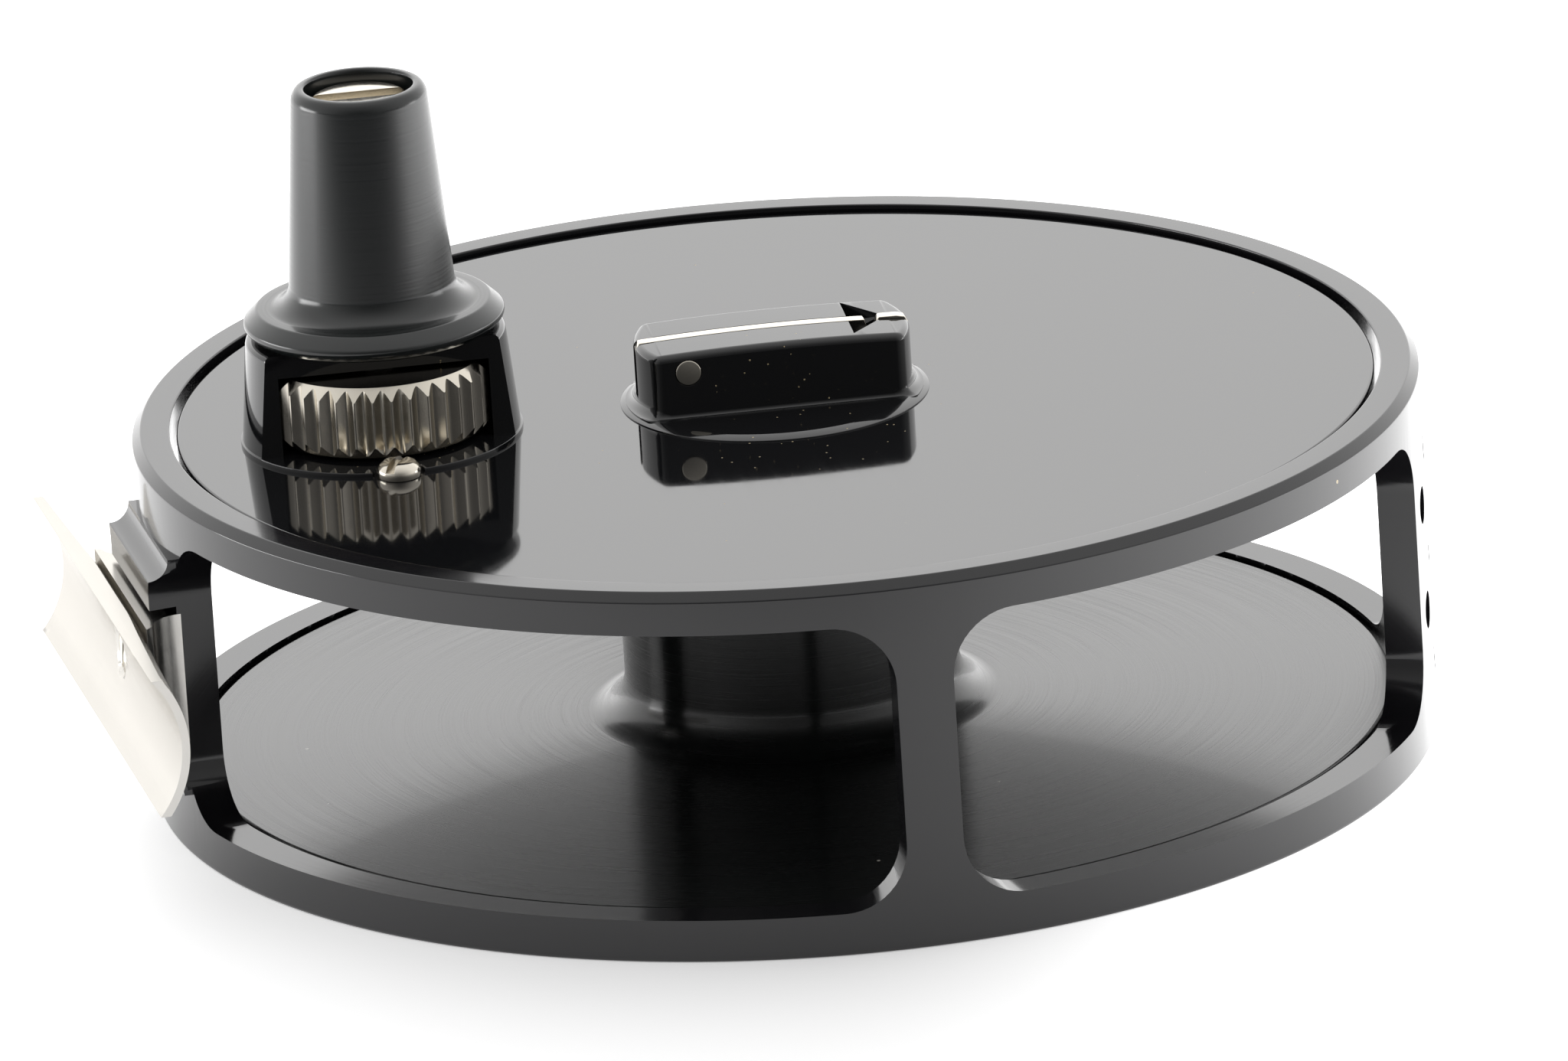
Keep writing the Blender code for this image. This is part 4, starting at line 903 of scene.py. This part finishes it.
def latchPlan(steps=16):
    # one quarter of the plan: flat side, rounded corner, then the end's arc as far as the long axis
    reach, half, corner = latch["end"], latch["half"], latch["corner"]
    centreY = half - corner
    centreX = math.sqrt((reach - corner) ** 2 - centreY ** 2)
    turn = math.degrees(math.atan2(centreY, centreX))
    side = [(centreX * s / 22, half) for s in range(22)]
    bend = arcPoints((centreX, centreY), corner, 90, turn, 8)
    end = arcPoints((0, 0), reach, turn, 0, steps)[1:]
    return side + bend + end


def latchRing(plan, out, level):
    # the quarter plan mirrored into a loop, grown by out(x), at the height level(x)
    ring = []
    loop = plan + [(x, -y) for x, y in reversed(plan[:-1])]
    loop += [(-x, -y) for x, y in plan[1:]] + [(-x, y) for x, y in reversed(plan[1:-1])]
    count = len(loop)
    for i, (x, y) in enumerate(loop):
        ax, ay = loop[i - 1]
        bx, by = loop[(i + 1) % count]
        way = Vector((-(by - ay), bx - ax)).normalized()
        if way.x * x + way.y * y < 0:
            way = -way
        grow = out(x)
        ring.append((x + way.x * grow, y + way.y * grow, level(x)))
    return ring


def latchSkirt(x):
    # the fillet at the block's foot, wider at its two ends
    ends = min(1.0, max(0.0, (abs(x) - latch["endStart"]) / latch["endBlend"]))
    return latch["skirt"] + (latch["flare"] - latch["skirt"]) * ends


def crownAt(x, level):
    return level - latch["crown"] * (x / latch["end"]) ** 2


def makeLatchBlock():
    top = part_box("latch_housing")[1].z / mm
    under = plateHigh.z / mm - 0.05
    plan = latchPlan()
    rings = []
    for s in range(9):
        turn = math.radians(90 * s / 8)
        skirt = lambda x, t=turn: latchSkirt(x) * (1 - math.sin(t))
        rise = lambda x, t=turn: latch["discTop"] - 0.03 + latchSkirt(x) * (1 - math.cos(t))
        rings.append(latchRing(plan, skirt, rise))
    rings.insert(0, [(x, y, latch["discTop"] - 0.3) for x, y, z in rings[0]])
    for s in range(7):
        turn = math.radians(90 * s / 6)
        pull = lambda x, t=turn: -latch["round"] * (1 - math.cos(t))
        drop = lambda x, t=turn: crownAt(x, top - latch["round"] * (1 - math.sin(t)))
        rings.append(latchRing(plan, pull, drop))
    count = len(rings[0])
    points = [p for ring in rings for p in ring]
    faces = bandFaces([(a, a + 1) for a in range(len(rings) - 1)], count)
    # the underside and the crown are closed by strips that run straight across
    for first in (0, (len(rings) - 1) * count):
        def at(i, base=first):
            return base + i % count
        half = count // 2
        quarter = len(plan) - 1
        for s in range(half):
            front, back = quarter + s, quarter - s
            corners = [at(front), at(front + 1), at(back - 1), at(back)]
            if len(set(corners)) > 2:
                faces.append(tuple(dict.fromkeys(corners)))
    block = meshFrom("latchBlock", points, faces)
    corners = [(0, under, 0), (latch["disc"], under, 0), (latch["disc"], latch["discRim"], 0.03),
               (latch["discFlat"], latch["discTop"], 0.1), (0, latch["discTop"], 0)]
    shape(block, "UNION", [turned("latchDisc", corners, 192, hollow=False)])
    pin = lay(lay(rod("pinTool", latch["pinRadius"] + 0.05, -6, 6, 48), turnBy(90, "X")),
              shiftBy(latch["pin"][0], 0, latch["pin"][1]))
    half = latch["slot"] / 2
    left, right = latch["notch"]
    far, near, tip = latch["notchWide"]
    deep = latch["notchFloor"]
    lid = top + 0.5
    wedge = skin("notchTool", [[(left, far - 0.5, deep), (left, near + 0.5, deep),
                                (right - 0.1, tip, top - 0.25)],
                               [(left, far + 0.5, lid), (left, near - 0.4, lid), (right + 0.5, tip, lid)]])
    slot = brick("slotTool", (-13, 13), (-half, half), (latch["slotFloor"], 34))
    shape(block, "DIFFERENCE", [slot, pin, wedge])
    breakEdges(block, latch["edge"], 1, 55)
    smooth(block, 32)
    onSpool(block)
    place(block, "blockBlack", "spool", "black_anodised", "latch_housing")


def makeLatchLeaves():
    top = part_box("latch_housing")[1].z / mm
    start, end = latch["lever"]
    xs = [start + s * (end - start) / 24 for s in range(25)]
    outline = [(-10.12, 32.2), (-10.05, 30.8), (-9.3, 30.75), (-8.6, 30.9), (-8.3, 30.3), (-7.5, 29.6),
               (-7.2, 28.8), (-6.4, 28.8), (-6.4, 29.6), (-5.5, 30.2), (-4.9, 31.25), (5.2, 31.3),
               (7.05, 32.25)]
    outline += [(x, crownAt(x, top + 0.02)) for x in reversed(xs)]
    lever = sideSlab("latchLeverLeaf", outline, latch["leaf"] / 2)
    breakEdges(lever, 0.06, 2, 45)
    smooth(lever)
    onSpool(lever)
    place(lever, "nickelSilver", "latch_lever", "nickel_silver", "latch_lever")
    riseStart, riseLong, riseLow, riseHigh = latch["rise"]
    rise = [(riseStart + riseLong * t, riseLow + (riseHigh - riseLow) * (3 * t * t - 2 * t ** 3))
            for t in [s / 10 for s in range(11)]]
    plateLevels = latch["plate"]
    plateUnder, plateTop = plateLevels
    outline = [(3.9, plateUnder), (9.95, plateUnder), (10.12, 29.4), (10.12, 32.35), (9.9, 32.72),
               (9.3, 32.84)] + rise[::-1]
    outline += [(7.1, 29.9), (6.95, plateTop), (3.9, plateTop)]
    slide = sideSlab("latchSlideLeaf", outline, latch["leaf"] / 2)
    plate = brick("slidePlate", (-5.0, 4.4), (-3.2, 3.2), plateLevels)
    tongue = brick("slideTongue", (-6.1, -4.5), (-0.5, 0.5), plateLevels)
    shape(slide, "UNION", [plate, tongue])
    keySmall, keyLarge, keyStep = latch["key"]
    shape(slide, "DIFFERENCE", [rod("keySmall", keySmall, 28, 30, 48),
                                lay(rod("keyLarge", keyLarge, 28, 30, 48), shiftBy(-keyStep, 0, 0))])
    breakEdges(slide, 0.05, 2, 45)
    smooth(slide)
    onSpool(slide)
    place(slide, "nickelSilver", "latch_slide", "nickel_silver", "latch_slide")
    reach = latch["half"] + 0.02
    corners = [(0, -reach, 0), (latch["pinRadius"], -reach, 0.1), (latch["pinRadius"], reach, 0.1),
               (0, reach, 0)]
    pin = turned("latchPinBody", corners, 48, hollow=False)
    lay(pin, turnBy(90, "X"))
    lay(pin, shiftBy(latch["pin"][0], 0, latch["pin"][1]))
    smooth(pin)
    onSpool(pin)
    place(pin, "nickelSilver", "spool", "nickel_silver", "latch_pin")


makeLatchBlock()
makeLatchLeaves()
print("spindle latch made")

housing = {"base": 10.4, "low": 10.3, "high": 9.56, "floor": 27.9, "roof": 33.85, "top": 35.6, "flat": 4.1,
           "chamber": 8.8, "edge": 0.13, "screwCut": 1.95, "screwGap": 0.1, "postHole": 2.3,
           "sleeveHole": 4.9}


def makeHousing():
    under = plateHigh.z / mm - 0.05
    corners = [(0, under, 0), (housing["base"], under, 0), (housing["base"], housing["floor"], 0.12),
               (housing["low"] - 0.05, housing["floor"], 0.05), (housing["high"], housing["top"], 0.45),
               (0, housing["top"], 0)]
    body = turned("housingBody", corners, 192, hollow=False)
    reach = housing["base"] + 2
    screwOut = housing["base"] + housing["screwGap"]
    tools = [rod("chamberTool", housing["chamber"], housing["floor"], housing["roof"], 160),
             brick("flatTool", (-reach, reach), (-reach, -housing["flat"]), (housing["floor"] - 0.001, 40)),
             rod("postTool", housing["postHole"], 33, 37, 48),
             rod("sleeveTool", housing["sleeveHole"], 27, 29, 64),
             lay(rod("notchTool", housing["screwCut"], 27, 29, 64), shiftBy(0, -screwOut, 0))]
    shape(body, "DIFFERENCE", tools)
    breakEdges(body, housing["edge"], 2, 38)
    smooth(body)
    onCrank(body)
    place(body, "housingBlack", "spool", "black_anodised", "handle_housing")


wheel = {"flutes": 38, "radius": 8.5, "depth": 0.58, "land": 0.1, "hollow": 1.45, "chamfer": 0.72,
         "chamferTall": 0.95, "columns": 16, "bore": 3.7}


def makeWheel():
    low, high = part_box("brake_wheel")
    bottom, top = low.z / mm, high.z / mm
    sector = full / wheel["flutes"]
    neck = wheel["radius"] - wheel["chamfer"]
    points, faces = [], []
    for s in range(wheel["columns"] + 1):
        across = 2 * s / wheel["columns"] - 1
        inside = max(0.0, 1 - (abs(across) / (1 - wheel["land"])) ** wheel["hollow"])
        reach = wheel["radius"] - wheel["depth"] * inside
        level = (reach - neck) * wheel["chamferTall"] / wheel["chamfer"]
        angle = sector * across / 2
        rows = [(neck, bottom), (reach, bottom + level), (reach, top - level), (neck, top),
                (wheel["bore"], top), (wheel["bore"], bottom)]
        points += [(r * math.cos(angle), r * math.sin(angle), z) for r, z in rows]
    count = len(rows)
    for s in range(wheel["columns"]):
        for row in range(count):
            after = (row + 1) % count
            faces.append((s * count + row, (s + 1) * count + row, (s + 1) * count + after, s * count + after))
    body = meshFrom("knurledWheel", points, faces)
    copiesRound(body, wheel["flutes"], 0.0, 2e-6, "nickelSilver")
    form = bmesh.new()
    form.from_mesh(body.data)
    bmesh.ops.recalc_face_normals(form, faces=form.faces)
    form.to_mesh(body.data)
    form.free()
    smooth(body, 30)
    onCrank(body)
    place(body, "nickelSilver", "thumbwheel", "nickel_silver", "brake_wheel")


lockScrew = {"shank": 0.65, "tail": 26.6, "underHead": 27.6, "slotHalf": 0.33, "slotFloor": 28.25, "turn": 58}


def makeLockScrew():
    shank, tail, underHead = lockScrew["shank"], lockScrew["tail"], lockScrew["underHead"]
    corners = [(0, tail, 0), (shank, tail, 0), (shank, underHead, 0), (1.6, underHead, 0.1),
               (1.66, 28.2, 0.3), (1.15, 28.82, 0.45), (0, 28.95, 0)]
    screw = turned("lockScrewBody", corners, 64, hollow=False)
    cutSlot(screw, 3, lockScrew["slotHalf"], (lockScrew["slotFloor"], 30), lockScrew["turn"])
    breakEdges(screw, 0.05, 2, 50)
    smooth(screw, 30)
    lay(screw, shiftBy(0, -housing["base"] - housing["screwGap"], 0))
    onCrank(screw)
    place(screw, "nickelSilver", "spool", "nickel_silver", "lock_screw")


grip = {"flange": 9.6, "neck": 6.08, "end": 4.98, "recess": 3.95, "floor": 51.3, "bore": 3.2,
        "flangeTall": 1.93, "fillet": 1.95, "bushBore": 3.9, "bushTall": 2.1, "screwHead": 3.6,
        "slotHalf": 0.85, "slotDeep": 0.7}


def makeGrip():
    low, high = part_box("grip")
    bottom, top = low.z / mm, high.z / mm
    shoulder = bottom + grip["flangeTall"]
    flange, fillet, bushTop = grip["flange"], grip["fillet"], bottom + grip["bushTall"]
    corners = [(grip["bushBore"], bottom, 0.1), (flange - 0.65, bottom, 0.3), (flange, bottom + 0.62, 0.18),
               (flange, bottom + 1.05, 0.15), (flange - 0.98, shoulder, 0.12), (7.7, shoulder, 0.25)]
    throat = (grip["neck"] + fillet, shoulder + 1.9)
    corners += [(x, z, 0) for x, z in arcPoints(throat, fillet, 255, 187, 12)]
    corners += [(grip["end"] + 0.03, top - 0.55, 0.5), (grip["end"] - 0.35, top, 0.3),
                (grip["recess"] + 0.08, top, 0.3), (grip["recess"], top - 0.35, 0.2),
                (grip["recess"], grip["floor"], 0.2), (grip["bore"], grip["floor"], 0.1),
                (grip["bore"], bushTop, 0.1), (grip["bushBore"], bushTop, 0.1)]
    body = turned("gripBody", corners, 160)
    smooth(body, 50)
    onCrank(body)
    place(body, "gripBlack", "grip", "satin_anodised", "grip")
    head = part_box("grip_screw")[1].z / mm
    wide, seat = grip["screwHead"], grip["floor"] + 0.3
    corners = [(0, 45, 0), (1.0, 45, 0), (1.0, seat, 0), (wide, seat, 0.1), (wide, head - 0.35, 0.2),
               (3.3, head, 0.2), (0, head, 0)]
    screw = turned("gripScrewBody", corners, 96, hollow=False)
    cutSlot(screw, 5, grip["slotHalf"], (head - grip["slotDeep"], head + 1))
    breakEdges(screw, 0.08, 2, 50)
    smooth(screw)
    onCrank(screw)
    place(screw, "nickelSilver", "spool", "nickel_silver", "grip_screw")


makeHousing()
makeWheel()
makeLockScrew()
makeGrip()
print("crank made")

# CAD pieces that keep their own shape

slotFinish = {"black_anodised": "cageBlack", "satin_anodised": "gripBlack", "nickel_silver": "nickelSilver",
              "steel": "screwSteel", "spring_steel": "springSteel", "bronze": "bearingBronze",
              "cork": "brakeCork"}
for part in frame["record"]["subparts"]:
    node = frame["nodes"][part["node"]]
    node.data.materials.clear()
    node.data.materials.append(finishes[slotFinish[part["material_slot"]]])
print("CAD pieces dressed")
